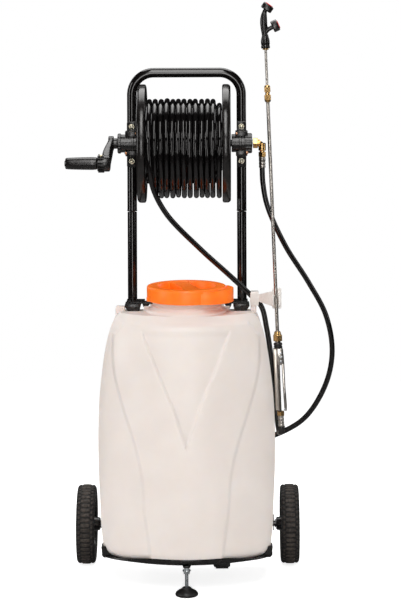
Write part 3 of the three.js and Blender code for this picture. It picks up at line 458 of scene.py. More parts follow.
def orange_plastic():
    look = Look("orange_plastic")
    patch = look.between(look.noise(25, 4), 0.3, 0.7, 0, 1)
    look.set(
        Base_Color=look.blend(patch, (0.95, 0.150, 0.004), (1.0, 0.180, 0.006)),
        Roughness=look.between(look.noise(9, 4), 0.3, 0.7, 0.36, 0.48),
        Subsurface_Weight=0.25,
        Subsurface_Radius=(1.0, 0.25, 0.03),
        Subsurface_Scale=0.004,
        # Painted glow: a weak orange emission makes the lid plastic glow, as if lit from within.
        Emission_Color=(1.0, 0.21, 0.010),
        Emission_Strength=0.2,
    )
    look.bump(look.noise(0.9, 3), 0.03)
    return look.material


def tyre_rubber():
    look = Look("tyre_rubber")
    dust = look.between(look.noise(7, 6, distortion=0.6), 0.35, 0.7, 0, 1)
    worn = look.blend(dust, (0.018, 0.014, 0.0115), (0.052, 0.040, 0.031))
    axle = look.node("ShaderNodeVectorMath", operation="SUBTRACT")
    look.link(look.place, axle.inputs[0])
    axle.inputs[1].default_value = AXLE + Vector((0, 0, AXLE_Z)) * MM
    across = look.node("ShaderNodeVectorMath", operation="MULTIPLY")
    look.link(axle.outputs[0], across.inputs[0])
    across.inputs[1].default_value = (0, 1, 1)
    radius = look.node("ShaderNodeVectorMath", operation="LENGTH")
    look.link(across.outputs[0], radius.inputs[0])
    # Painted shade: below the lug tops, in the tread grooves, the colour turns near black; the lug tops
    # carry the dust and wear.
    lug = look.between(radius.outputs["Value"], (WHEEL_R - 2.4) * MM, (WHEEL_R - 1.0) * MM, 0, 1)
    look.set(Base_Color=look.blend(lug, (0.005, 0.0042, 0.004), worn), Roughness=look.between(
        look.noise(4, 5), 0.3, 0.7, 0.55, 0.85,
    ))
    look.bump(look.noise(0.7, 4), 0.06)
    return look.material


def metal(name, dark, light, rough, brushed=(1, 1, 1)):
    look = Look(name)
    scratch = look.noise(2, 4, brushed)
    look.set(
        Base_Color=look.blend(look.between(look.noise(12, 4), 0.3, 0.7, 0, 1), dark, light),
        Roughness=look.between(scratch, 0.3, 0.7, rough[0], rough[1]),
        Metallic=1.0,
    )
    look.bump(scratch, 0.01)
    return look.material


PAINT = plain_look(
    "black_paint", (0.0030, 0.0024, 0.0024), (0.0048, 0.0038, 0.0038), (0.10, 0.15), 60, 90, 0.03,
)
MILK = tank_plastic()
ORANGE = orange_plastic()
HOSE = plain_look(
    "hose_skin", (0.0028, 0.0024, 0.0025), (0.0042, 0.0037, 0.0038), (0.06, 0.11), 18, 14, 0.02,
)
TREAD = tyre_rubber()
BLACK = plain_look(
    "black_plastic", (0.0036, 0.0030, 0.0030), (0.0060, 0.0052, 0.0050), (0.2, 0.32), 22, 0.9, 0.006,
)
GREY = plain_look(
    "grey_plastic", (0.0050, 0.0042, 0.0040), (0.0085, 0.0074, 0.0070), (0.16, 0.27), 25, 0.9, 0.006,
)
SOFT = plain_look(
    "soft_rubber", (0.006, 0.0055, 0.0053), (0.011, 0.010, 0.0095), (0.36, 0.5), 12, 0.8, 0.03,
)
CLEAR = plain_look("holder_plastic", (0.80, 0.77, 0.73), (0.86, 0.83, 0.80), (0.25, 0.36), 30, 1.5, 0.02)
RED = plain_look("red_plastic", (0.55, 0.012, 0.015), (0.68, 0.02, 0.022), (0.3, 0.42), 8, 0.7, 0.02)
INSET = plain_look("nozzle_insert", (0.5, 0.010, 0.014), (0.62, 0.016, 0.02), (0.3, 0.42), 5, 0.5, 0.02)
STEEL = metal("stainless", (0.42, 0.39, 0.36), (0.56, 0.53, 0.49), (0.2, 0.34), (1, 1, 0.06))
POLISHED = metal("polished_steel", (0.30, 0.28, 0.26), (0.42, 0.39, 0.36), (0.12, 0.22), (1, 1, 0.06))
STRIP = metal("satin_steel", (0.66, 0.60, 0.53), (0.76, 0.70, 0.63), (0.3, 0.42), (1, 1, 0.1))
ZINC = metal("yellow_zinc", (0.62, 0.56, 0.40), (0.76, 0.72, 0.60), (0.26, 0.4))
GALVANISED = metal("bright_zinc", (0.50, 0.53, 0.55), (0.64, 0.67, 0.69), (0.22, 0.36))
BRASS = metal("brass", (0.52, 0.31, 0.11), (0.70, 0.46, 0.20), (0.18, 0.32))
COPPER = metal("copper_screw", (0.50, 0.23, 0.12), (0.62, 0.33, 0.2), (0.22, 0.36))

# ---- frame


def build_frame():
    path = bent([
        (-TUBE_X, 0, SPLIT_Z), (-TUBE_X, 0, HANDLE_Z), (TUBE_X, 0, HANDLE_Z), (TUBE_X, 0, SPLIT_Z),
    ], HANDLE_BEND, 20, 30)
    piece("handle_tube", sweep(path, TUBE_R, 32, None, Y), PAINT, "handle_frame")
    lip = []
    for x in (-TUBE_X, TUBE_X):
        lip.append(lathe(
            [(9, 0), (TUBE_R, 0), (TUBE_R + 0.5, 1.2), (TUBE_R + 0.5, 3), (TUBE_R, 4.4), (9, 5), (9, 0)],
            Z,
            (x, 0, SPLIT_Z - 0.3),
            32,
        ))
    piece("handle_rims", merge(*lip), PAINT, rides="handle_frame")
    path = bent([
        (-TUBE_X, 0, SPLIT_Z - 2.5), (-TUBE_X, 0, RUNNER_Z), (-TUBE_X, CROSS_Y, RUNNER_Z),
        (TUBE_X, CROSS_Y, RUNNER_Z), (TUBE_X, 0, RUNNER_Z), (TUBE_X, 0, SPLIT_Z - 2.5),
    ], RUNNER_BEND, 14, 30)
    piece("lower_tube", sweep(path, TUBE_R - 0.25, 32), PAINT, "lower_frame")
    for side, sign in (("left", -1), ("right", 1)):
        x = sign * TUBE_X
        head = merge(lathe(
            [(0, 15), (2.2, 15), (4.2, 14.2), (5.4, 12.4), (5.5, 11.2), (0, 11.2)],
            Y,
            (x, 0, SCREW_Z),
            24,
        ), hexagon((x, 0, SCREW_Z), Y, 2.2, 14.2, 15.1, 0.2))
        piece(f"frame_screw_head_{side}", head, ZINC, f"frame_screw_{side}")


# ---- wheels


def tread_depth(across, around):
    """How far the tread is sunk at a place: 0 on a lug, 1 in a groove. across runs from -1 to 1."""
    shift = 0.0 if abs(across) < 0.52 else 0.5
    phase = (around * TREAD_LUGS / (2 * math.pi) + shift + 0.12 * abs(across)) % 1.0
    gap = min(phase, 1 - phase) * 2
    bar = 1 - min(max((gap - 0.3) / 0.16, 0), 1)
    ring = min(abs(abs(across) - 0.54) / 0.05, 1)
    return max(bar, 1 - ring) if abs(across) < 0.97 else 0.0


def build_wheel(side, sign):
    centre = Vector((sign * WHEEL_X, 0, AXLE_Z))
    half, seat, edge = TYRE_HALF, RIM_SEAT, WHEEL_R - TYRE_CROWN - TYRE_SHOULDER
    section = [(half - 1.6, seat), (half - 0.6, seat + 5), (half - 0.2, 72), (half, edge)]
    flat = half - TYRE_SHOULDER
    for i in range(1, 7):
        t = math.pi / 2 * i / 6
        section.append((flat + TYRE_SHOULDER * math.cos(t), edge + TYRE_SHOULDER * math.sin(t)))
    section += [(flat * (1 - i / 6), WHEEL_R - TYRE_CROWN * (1 - i / 6) ** 2) for i in range(1, 7)]
    mirror = [(-d, r) for d, r in reversed(section[:-1])]
    section += mirror
    steps = TREAD_LUGS * 10
    verts, faces = [], []
    n = len(section)
    for k in range(steps):
        t = 2 * math.pi * k / steps
        for d, r in section:
            depth = 0.0
            if r > WHEEL_R - TREAD_WALL:
                depth = TREAD_DEPTH * tread_depth(d / half, t) * min((r - WHEEL_R + TREAD_WALL) / 3, 1)
            verts.append(centre + Vector((d, (r - depth) * math.cos(t), (r - depth) * math.sin(t))))
    for k in range(steps):
        for i in range(n):
            j = (i + 1) % n
            kk = (k + 1) % steps
            faces.append([k * n + i, k * n + j, kk * n + j, kk * n + i])
    piece(f"tyre_{side}_tread", (verts, faces), TREAD, f"tyre_{side}", sharp=28)

    out = Vector((sign, 0, 0))
    rim = lathe([
        (seat - 4.5, -18), (seat - 0.6, -18), (seat + 1.2, -17), (seat - 0.4, -15.5), (seat - 0.4, 15.5),
        (seat + 1.2, 17), (seat - 0.6, 18), (seat - 4.5, 18), (seat - 5.5, 14), (seat - 7, 3), (20, 3),
        (19, -3), (seat - 7, -3), (seat - 5.5, -14), (seat - 4.5, -18),
    ], out, centre, 72)
    holes = []
    for i in range(WEB_HOLES):
        t = math.pi / 3 * i + math.pi / 6
        y, z = WEB_HOLE_CIRCLE * math.cos(t), AXLE_Z + WEB_HOLE_CIRCLE * math.sin(t)
        holes.append(rod((centre.x - 8, y, z), (centre.x + 8, y, z), WEB_HOLE_R, 28))
    piece(f"wheel_web_{side}", rim, BLACK, f"wheel_rim_{side}", cut=[merge(*holes)], bevel=0.5)
    ribs = []
    for i in range(WEB_HOLES):
        t = math.pi / 3 * i
        way = Vector((0, math.cos(t), math.sin(t)))
        across = way.cross(X)
        for low, high in ((-9, -2.5), (2.5, 9)):
            shell = block((low, -2, 15), (high, 2, seat - 4))
            matrix = Matrix((X, across, way)).transposed().to_4x4()
            ribs.append(moved(shell, Matrix.Translation(centre) @ matrix))
    hub = lathe([
        (6.3, -31), (12, -31), (14.5, -29.5), (15.5, -22), (17, -16), (20, -4), (20, 4), (18, 15),
        (17, 19), (15.8, 20.4), (9, 20.9), (0, 21), (0, 17), (6.3, 17), (6.3, -31),
    ], out, centre, 40)
    piece(f"wheel_hub_{side}", merge(hub, *ribs), BLACK, rides=f"wheel_rim_{side}", bevel=0.4)


def build_axle():
    end = WHEEL_X + 17
    parts = [lathe(
        [(0, -end), (4.6, -end), (6, -end + 1.5), (6, end - 1.5), (4.6, end), (0, end)],
        X,
        (0, 0, AXLE_Z),
        28,
    )]
    for sign in (-1, 1):
        parts.append(sleeve(9.6, 5, WHEEL_X - 34.4, WHEEL_X - 31.6, (sign, 0, 0), (0, 0, AXLE_Z), 32))
    piece("axle_bar", merge(*parts), PAINT, "axle")
    for side, sign in (("left", -1), ("right", 1)):
        x = sign * 196
        loop = []
        for i in range(21):
            t = math.radians(-60 + 300 * i / 20)
            loop.append((x, 4.6 * math.sin(t), AXLE_Z + 13 - 4.6 * math.cos(t) + 2))
        legs = [
            [(x, -0.8, AXLE_Z + 10), (x, -0.8, AXLE_Z - 9), (x - 0.6, -3.4, AXLE_Z - 16)],
            [(x, 0.8, AXLE_Z + 10), (x, 0.8, AXLE_Z - 9), (x + 0.6, 3.6, AXLE_Z - 15)],
        ]
        shells = [sweep(loop, 1.3, 10, None, X)] + [sweep(spline(leg, 5), 1.05, 10) for leg in legs]
        piece(f"cotter_{side}", merge(*shells), PAINT, f"cotter_pin_{side}")


# ---- tank

# (height, half of the width), and (height, how far the front is behind its foremost place)
SIDE = [
    (69, 180), (90, 185), (130, 189.5), (171, 191.5), (284, 195.8), (396, 194), (470, 187.5),
    (540, 176.5), (583, 163), (600, 148),
]
FRONT = [(69, 6), (90, 0), (300, -2), (450, 2), (540, 14), (583, 34), (600, 52)]
WIDEST_Z, TANK_TAPER, CORNER_DEPTH = 284, 4.8, 84
REAR_CORNER = 22
RELIEF = 5.5


def read_at(points, z):
    """A smooth curve through (height, value) points."""
    pts = [(2 * points[0][0] - points[1][0], 2 * points[0][1] - points[1][1])] + points
    pts.append((2 * points[-1][0] - points[-2][0], 2 * points[-1][1] - points[-2][1]))
    for (z0, v0), (z1, v1), (z2, v2), (z3, v3) in zip(pts, pts[1:], pts[2:], pts[3:]):
        if z <= z2 or z2 == points[-1][0]:
            t = min(max((z - z1) / (z2 - z1), 0), 1)
            m1 = (v2 - v0) / (z2 - z0) * (z2 - z1)
            m2 = (v3 - v1) / (z3 - z1) * (z2 - z1)
            start = (2 * t**3 - 3 * t**2 + 1) * v1 + (t**3 - 2 * t**2 + t) * m1
            return start + (3 * t**2 - 2 * t**3) * v2 + (t**3 - t**2) * m2


def ease(value, low, high):
    t = min(max((value - low) / (high - low), 0), 1)
    return t * t * (3 - 2 * t)


def tongue_half(z):
    return 79 + 14 * ease(z, 69, 210) + 69 * ease(z, 190, 520) ** 1.25


def relief(x, z):
    """The proud tongue, and the V-shaped chest sunk into it."""
    reach = abs(x)
    edge = tongue_half(z) - reach
    top = 556 + 24 * ease(160 - reach, 0, 26)
    raised = RELIEF * ease(edge, -3.5, 3.5) * (1 - ease(z, top, top + 9))
    legs = 320 + 3.1 * min(reach, 27) + 2.35 * max(reach - 27, 0)
    chest = RELIEF * ease(z - legs, -5, 6) * ease(edge, 2, 9) * (1 - ease(z, 558, 576))
    return raised - chest


def outline(z, grow=0.0, front_steps=110, side_steps=8, shaped=True):
    low = max(0.0, 1 - (z - TANK_BOTTOM) / 18)
    w = read_at(SIDE, z) + grow - 20 * (1 - math.sqrt(max(0.0, 1 - low * low)))
    front = TANK_FRONT + read_at(FRONT, z) - grow
    bottom = max(0.0, 1 - (z - TANK_BOTTOM) / 7)
    tuck = 5 * (1 - math.sqrt(max(0.0, 1 - bottom * bottom))) if shaped else 0
    back = TANK_BACK + grow
    corner_y = front + CORNER_DEPTH * (w / 196)
    rear = read_at(SIDE, max(z, WIDEST_Z)) - TANK_TAPER + grow
    half = []
    for i in range(9):
        t = math.pi / 2 * i / 8
        corner = rear - REAR_CORNER + REAR_CORNER * math.sin(t)
        half.append((corner, back - REAR_CORNER + REAR_CORNER * math.cos(t)))
    for i in range(1, side_steps):
        s = i / side_steps
        half.append((
            rear + (w - rear) * s,
            back - REAR_CORNER + (corner_y + 12 - back + REAR_CORNER) * s,
        ))
    for i in range(front_steps + 1):
        s = 1 - i / front_steps
        x = w * math.sin(math.pi / 2 * s) ** 0.9
        bow = (x / w) ** 2
        y = front + (corner_y - front) * (0.82 * bow + 0.18 * bow**6)
        half.append((x, y - (relief(x, z) if shaped else 0) + tuck))
    ring = half + [(-x, y) for x, y in reversed(half[1:-1])]
    return [Vector((x, y, z)) for x, y in ring]


def build_tank():
    heights = [69, 69.6, 70.6, 72, 74, 76.5] + [80 + 5.2 * i for i in range(93)]
    heights = [z for z in heights if z < 560] + [560 + 2 * i for i in range(16)]
    heights += [592, 594, 596, 598, 599.3, 600]
    shell = loft([outline(z) for z in heights])
    centre = (0, LID_Y, 0)
    neck = lathe([
        (0, 590), (97, 590), (93.5, 597), (90.5, 601.5), (87, 604.5), (82, 606.5), (79.5, 609),
        (78.2, 613), (76, 614), (76, 622), (77.2, 623), (77.2, 626), (76, 627), (76, NECK_TOP - 1),
        (75, NECK_TOP), (0, NECK_TOP),
    ], Z, centre, 96)
    ears = merge(
        prism(rounded(-162, 562, -141, 600, 5, 4), -76, -52),
        prism(rounded(145, 562, 158, 601, 4, 4), -76, -46),
    )
    recess = block((-104, -112, 20), (104, 40, 292))
    steps = []
    for near, y in ((97, -140), (84, -65)):
        steps += [block((-260, y, 585), (-near, 40, 700)), block((near, y, 585), (260, 40, 700))]
    bends = merge(block((-141, -56, 20), (-111, 40, 100)), block((111, -56, 20), (141, 40, 100)))
    mouth = rod((0, LID_Y, 515), (0, LID_Y, 660), NECK_R - 4, 96)
    piece("tank_shell", shell, MILK, "tank", cut=[*steps, recess, bends], sharp=32)
    piece("tank_ears", ears, MILK, rides="tank", bevel=1.2)
    piece("tank_neck", neck, MILK, rides="tank", cut=[mouth])


def build_strainer():
    r = NECK_R - 6
    basket = lathe([
        (0, 520), (r - 8, 520), (r, 600), (r, NECK_TOP + 0.3), (NECK_R - 1, NECK_TOP + 0.3),
        (NECK_R - 1, 647.3), (r - 3, 647.3), (r - 3, 600), (r - 11, 523), (0, 523),
    ], Z, (0, LID_Y, 0), 72)
    slots = []
    for i in range(12):
        turn = Matrix.Translation((0, LID_Y, 0)) @ Matrix.Rotation(math.pi / 12 * i, 4, "Z")
        for z in (532, 556, 580, 604):
            slots.append(moved(block((-90, -4, z), (90, 4, z + 18)), turn))
    piece("strainer_basket", basket, GREY, "neck_strainer", cut=[merge(*slots)])


# ---- lid


def build_lid():
    centre = (0, LID_Y, 0)
    cup = lathe([
        (77.6, LID_BOTTOM), (87.2, LID_BOTTOM), (88.2, LID_BOTTOM + 1), (88.6, LID_BOTTOM + 3),
        (LID_R, LID_TOP - 4.5), (88.5, LID_TOP - 2.2), (87.1, LID_TOP - 0.6), (85, LID_TOP),
        (67.2, LID_TOP), (65.6, LID_TOP - 0.5), (64.8, LID_TOP - 2), (63.2, 641), (62, 639.4), (60, 639),
        (0, 639), (0, 636), (64.6, 636), (66.2, 639), (66.4, 650.5), (77.6, 650.5), (77.6, LID_BOTTOM),
    ], Z, centre, 128)
    turn = Matrix.Translation(centre) @ Matrix.Rotation(GRIP_TURN, 4, "Z")
    waist = []
    for i in range(25):
        y = GRIP_HALF * (i / 12 - 1)
        half = 17.5 + 6 * (y / GRIP_HALF) ** 2
        waist.append((half, y))
    grip = moved(prism(waist + [(-x, y) for x, y in reversed(waist)], 637, LID_TOP - 0.8, "XY"), turn)
    circle = [
        (40.6 + 65 * math.cos(t / 64 * 2 * math.pi), LID_Y - 18 + 65 * math.sin(t / 64 * 2 * math.pi))
        for t in range(64)
    ]
    lobe = prism(circle, LID_BOTTOM + 0.4, 653.4, "XY")
    hollow = rod((0, LID_Y, 600), (0, LID_Y, 670), 78, 128)
    groove = lathe([(88.8, 648.5), (91, 648.5), (91, 656), (88.8, 656), (88.8, 648.5)], Z, centre, 128)
    notch = moved(
        block((-3.4, -9, 647.5), (3.4, 9, 660)),
        Matrix.Translation((88, LID_Y + 22, 0)) @ Matrix.Rotation(math.radians(-58), 4, "Z"),
    )
    piece("lid_cup", cup, ORANGE, "lid")
    piece("lid_grip", grip, ORANGE, rides="lid", bevel=1.6)
    piece("lid_lobe", lobe, ORANGE, rides="lid", cut=[hollow, groove, notch], bevel=1.2)
    tab = lathe(
        [(0, -1), (5, -1), (6, 1), (6, 8), (5, 9.5), (0, 9.5)], Z, (-83, LID_Y - 22, LID_BOTTOM + 0.5),
        24,
    )
    piece("lid_tab", tab, ORANGE, rides="lid", bevel=0.5)
    ring = lathe([
        (67.4, 648.1), (74.5, 648.1), (75, 649.1), (74.5, 650.1), (67.4, 650.1), (67.4, 648.1),
    ], Z, centre, 72)
    piece("lid_seal", ring, SOFT, "lid_gasket")


def build_yoke():
    plate = block((-139, -36, 600.6), (139, 15, 604.4))
    saddles = []
    for sign in (-1, 1):
        shape = [
            (sign * x, z)
            for x, z in (
                (142.5, 598.8), (138.4, 603), (118, 603.6), (107, 603.4), (105.2, 599), (108, 590),
                (111, 586.6), (133, 586.6), (136, 589), (141, 597),
            )
        ]
        saddles.append(prism(shape, -61, -22))
        saddles.append(prism([(x, min(z, 598)) for x, z in shape], -23, 15))
        hook = [
            (sign * x, z)
            for x, z in ((102.5, 603.8), (82, 603.8), (86, 600), (93.6, 590), (97, 590), (101, 598))
        ]
        saddles.append(prism(hook, -44, -35))
    bores = merge(*[rod((x, 0, 560), (x, 0, 640), TUBE_R + 0.6, 40) for x in (-TUBE_X, TUBE_X)])
    relief_room = block((-98, -14, 590), (98, 30, 615))
    piece("yoke_body", plate, BLACK, "tank_yoke", add=saddles, cut=[relief_room, bores], bevel=1.2)


def build_tray():
    def rim(z, grow):
        return outline(z, grow, 40, 4, shaped=False)

    # (height, height where the tank's outline is read, how far outside it)
    levels = [
        (TRAY_Z, 71, 0), (66.6, 74, 1.6), (69, 80, 2.2), (72, 88, 3.4), (76, 90, 3.9), (80, 90, 3.6),
    ]
    rings = []
    for z, at, grow in levels:
        # The lip runs lower towards the corners.
        drops = [(p, (z - TRAY_Z) * 0.62 * ease(abs(p.x), 84, 160)) for p in rim(at, grow)]
        rings.append([Vector((p.x, p.y, z - drop)) for p, drop in drops])
    outside = loft(rings)
    inner = [Vector((p.x, p.y, 0)) for p in rim(88, 0.9)]
    inside = loft([[p + Z * 68.7 for p in inner], [p + Z * 90 for p in inner]])
    trim = merge(block((-141, -58, 40), (-111.5, 40, 120)), block((111.5, -58, 40), (141, 40, 120)))
    drain = rod((DRAIN_X, DRAIN_Y, 40), (DRAIN_X, DRAIN_Y, 100), 10.3, 32)
    cut_off = merge(block((-260, -172, 40), (-186.5, 60, 120)), block((186.5, -172, 40), (260, 60, 120)))
    piece("tray_shell", outside, BLACK, "base_tray", cut=[inside, trim, drain, cut_off], bevel=0.5)
    walls = [
        block((-110, -14.6, TRAY_Z), (110, -11.6, 97.5)), block((-110, -30, 65.4), (110, -11.8, 68.6)),
    ]
    piece("tray_wall", merge(*walls), BLACK, rides="base_tray", bevel=0.6)
    room = loft([
        [Vector((p.x, p.y, z)) for p in outline(max(z, TANK_BOTTOM), 0.8, 40, 4)]
        for z in (60, 69, 72, 76, 82, 90, 110)
    ])
    for side, sign in (("left", -1), ("right", 1)):
        foot = [
            (sign * x, z)
            for x, z in ((150, 66), (184, 66), (187, 69), (189.5, 88), (188, 90.6), (150, 90.6))
        ]
        piece(f"tray_corner_{side}", prism(foot, -204, -174), BLACK, rides="base_tray", cut=[room])


def thread(centre, radius, low, high, pitch):
    """A screw thread drawn as close rings."""
    points = [(0, low)]
    z = low
    while z < high - pitch:
        points += [
            (radius, z + pitch * 0.1), (radius, z + pitch * 0.35), (radius - 0.55, z + pitch * 0.6),
            (radius - 0.55, z + pitch * 0.85),
        ]
        z += pitch
    points += [(radius, high - 0.8), (radius - 1, high), (0, high)]
    return lathe(points, Z, centre, 24)


def build_foot():
    spot = (0, FOOT_Y, 0)
    pad = lathe([
        (0, 0), (22.6, 0), (24, 0.8), (24.9, 2), (25, 4.4), (24.2, 6.4), (22, 8.8), (18.6, 11.2),
        (14.6, 13.2), (11.4, 15), (9.8, 16.8), (9.4, 18), (4.3, 18), (4.3, 8.6), (0, 8.6),
    ], Z, spot, 72)
    piece("foot_dome", pad, SOFT, "foot_pad")
    piece("foot_screw", thread(spot, 4, 9, 64.5, 1.25), GALVANISED, "foot_rod")
    nut = merge(
        hexagon(spot, Z, 8, 47.4, 53.4, 1.0),
        lathe([
            (4.2, 53), (8.6, 53), (9, 53.6), (9, 55), (8.6, 55.6), (4.2, 55.6), (4.2, 53),
        ], Z, spot, 40),
        lathe([
            (4.2, 55.4), (5.6, 55.4), (6, 56), (6, 60.6), (5.6, 61), (4.2, 61), (4.2, 55.4),
        ], Z, spot, 40),
    )
    piece("foot_nut_flange", nut, GALVANISED, "foot_nut", sharp=25)
    arm = prism([
        (-16, CROSS_Y - 12), (-8, FOOT_Y - 4), (-6, FOOT_Y - 7), (6, FOOT_Y - 7), (8, FOOT_Y - 4),
        (16, CROSS_Y - 12),
    ], 61.3, 65, "XY")
    cradle = block((-16, CROSS_Y - 16, 44), (16, CROSS_Y - 11.5, 65))
    piece("foot_bracket_plate", arm, PAINT, "foot_bracket", add=[cradle], bevel=1.0)
    centre = (DRAIN_X, DRAIN_Y, 0)
    plug = [lathe(
        [
            (0, 46), (15, 46), (17, 46.8), (18, 48.4), (18, 60), (17, 61.6), (9.8, 62.4), (9.8, 76),
            (8.5, 78), (0, 78),
        ],
        Z,
        centre,
        48,
    )]
    for i in range(18):
        t = 2 * math.pi * i / 18
        spot = (DRAIN_X + 17.6 * math.cos(t), DRAIN_Y + 17.6 * math.sin(t), 0)
        plug.append(lathe([(0, 47), (1.2, 47.6), (1.2, 60.4), (0, 61)], Z, spot, 8))
    plug.append(block((DRAIN_X - 14, DRAIN_Y - 2.5, 42), (DRAIN_X + 14, DRAIN_Y + 2.5, 47)))
    piece("drain_knob", merge(*plug), BLACK, "drain_plug", bevel=0.5)


# ---- back of the tank


def build_back():
    shell = prism(rounded(-110, 98, 110, 300, 12, 8), -14.7, 9)
    inside = prism(rounded(-107, 101, 107, 297, 9, 6), -25, 6)
    holes = [
        inside,
        merge(
            rod((88, -20, 205), (88, 20, 205), 8, 32),
            rod((60, -20, CONTROLS_Z), (60, 20, CONTROLS_Z), 8.2, 32),
            rod((0, -20, CONTROLS_Z), (0, 20, CONTROLS_Z), 4.5, 24),
            block((-71, -20, CONTROLS_Z - 13), (-49, 20, CONTROLS_Z + 13)),
        ),
        merge(*[prism(rounded(-45, 120 + i * 16, 45, 126 + i * 16, 2.9, 5), 0, 20) for i in range(4)]),
        prism(rounded(-98, 106, 98, 238, 8, 6), 8.2, 12),
    ]
    piece("rear_cover_panel", shell, BLACK, "rear_cover", cut=holes, bevel=0.9)
    screws = []
    for x, z in ((-103, 105), (103, 105), (-103, 293), (103, 293)):
        screws.append(lathe([(0, 8.4), (3.4, 8.4), (3.4, 9.4), (2.4, 10.4), (0, 10.6)], Y, (x, 0, z), 24))
    piece("rear_cover_screws", merge(*screws), ZINC, rides="rear_cover")
    body = [lathe(
        [(0, 0), (4, 0), (4, 9.5), (15, 9.5), (17, 11), (16.4, 16), (15.2, 23.4), (13.8, 25), (0, 25)],
        Y,
        (0, 0, CONTROLS_Z),
        48,
    )]
    for i in range(20):
        t = 2 * math.pi * i / 20
        spot = (16.1 * math.cos(t), 0, CONTROLS_Z + 16.1 * math.sin(t))
        body.append(lathe([(0, 11), (1.1, 11.6), (1.0, 22), (0, 23)], Y, spot, 8))
    body.append(block((-1.4, 20, CONTROLS_Z + 1), (1.4, 26.4, CONTROLS_Z + 13)))
    piece("flow_knob_grip", merge(*body), BLACK, "flow_knob", bevel=0.3)
    rocker = [(-6, -12), (8, -12)]
    rocker += [(8 - 2.5 * math.sin(math.pi * i / 10), -12 + 2.4 * i) for i in range(1, 10)]
    rocker += [(8, 12), (-6, 12)]
    tilt = Matrix.Translation((-60, 4, CONTROLS_Z)) @ Matrix.Rotation(math.radians(-9), 4, "X")
    piece("power_rocker", moved(prism(rocker, -10, 10, "YZ"), tilt), RED, "power_switch", bevel=0.5)
    frame_shape = prism(rounded(-75, CONTROLS_Z - 17, -45, CONTROLS_Z + 17, 3, 5), 8.6, 10.4)
    piece(
        "switch_bezel", frame_shape, GREY, rides="rear_cover", bevel=0.5,
        cut=[block((-71, 0, CONTROLS_Z - 13), (-49, 20, CONTROLS_Z + 13))],
    )
    socket = lathe([
        (3, -4), (7.6, -4), (7.6, 9.3), (11, 9.3), (11, 11.6), (10, 12.6), (8, 13), (4, 13), (3, 11),
        (3, -4),
    ], Y, (60, 0, CONTROLS_Z), 40)
    piece("charge_socket_body", socket, GREY, "charge_socket")
    elbow = sweep(bent(
        [(68.3, -62, 205), (88, -62, 205), (88, 30, 205), (88, 30, 222)],
        12,
        8,
        20,
    ), 6, 20)
    piece("pump_outlet_elbow", merge(
        elbow, hexagon((88, 0, 205), Y, 9, 12, 17, 0.6), sleeve(7.6, 5, 210, 221.6, Z, (88, 30, 0), 32),
    ), BRASS, "pump_outlet", sharp=25)
    covered = {"battery": GREY, "pump_motor": STEEL, "pump_head": BLACK, "suction_hose": HOSE}
    for name, look in covered.items():
        node = frame["nodes"][name]
        node.data.materials.clear()
        node.data.materials.append(look)


# ---- reel


def build_bearing(side, inner, outer, collar):
    sign = 1 if inner > 0 else -1
    x = sign * TUBE_X
    centre = (0, REEL_Y, REEL_Z)
    barrel = lathe([
        (8.3, inner), (19.5, inner), (20.5, inner + sign), (20.5, x - sign * 6), (22.4, x - sign * 5),
        (22.4, x - sign * 1), (20.5, x), (20.5, collar), (22, collar + sign), (22, outer - sign),
        (20.8, outer), (8.3, outer), (8.3, inner),
    ], X, centre, 56)
    ribs = []
    low, high = sorted((collar, outer))
    for i in range(16):
        t = 2 * math.pi * i / 16
        spot = (0, REEL_Y + 21.6 * math.cos(t), REEL_Z + 21.6 * math.sin(t))
        ribs.append(lathe([(0, low + 1), (1.5, low + 2), (1.5, high - 2), (0, high - 1)], X, spot, 8))
    strap = prism(rounded(x - 11, 911, x + 11, 1016, 4, 5), -19, -TUBE_R - 0.3)
    saddle = merge(
        block((x - 14, REEL_Y - 12, REEL_Z + 13), (x + 14, -13, REEL_Z + 28)),
        block((x - 13, REEL_Y - 16, REEL_Z - 28), (x + 13, -13, REEL_Z - 16)),
    )
    piece(f"bearing_{side}_barrel", merge(barrel, *ribs), BLACK, f"bearing_{side}")
    piece(f"bearing_{side}_strap", strap, BLACK, rides=f"bearing_{side}", add=[saddle], bevel=0.9)
    tips = [(x - sign * 12, REEL_Y - 12.2, REEL_Z + 23), (x + sign * 12, REEL_Y - 16.2, REEL_Z - 21)]
    heads = [
        lathe([(0, -0.6), (3.2, -0.6), (3.2, 0.6), (2.2, 1.5), (0, 1.7)], -Y, tip, 20)
        for tip in tips
    ]
    piece(f"bearing_{side}_screws", merge(*heads), COPPER, rides=f"bearing_{side}")
    for place, z in (("lower", 925), ("upper", 1004)):
        head = merge(
            lathe([(0, 19.2), (6.4, 19.2), (6.4, 20), (5.8, 20.5), (0, 20.6)], -Y, (x, 0, z), 32),
            lathe([(0, 20), (5.3, 20), (5.2, 23), (4.3, 25), (2.6, 25.9), (0, 26.1)], -Y, (x, 0, z), 32),
        )
        piece(f"bolt_{side}_{place}", head, ZINC, f"bearing_bolt_{side}_{place}")


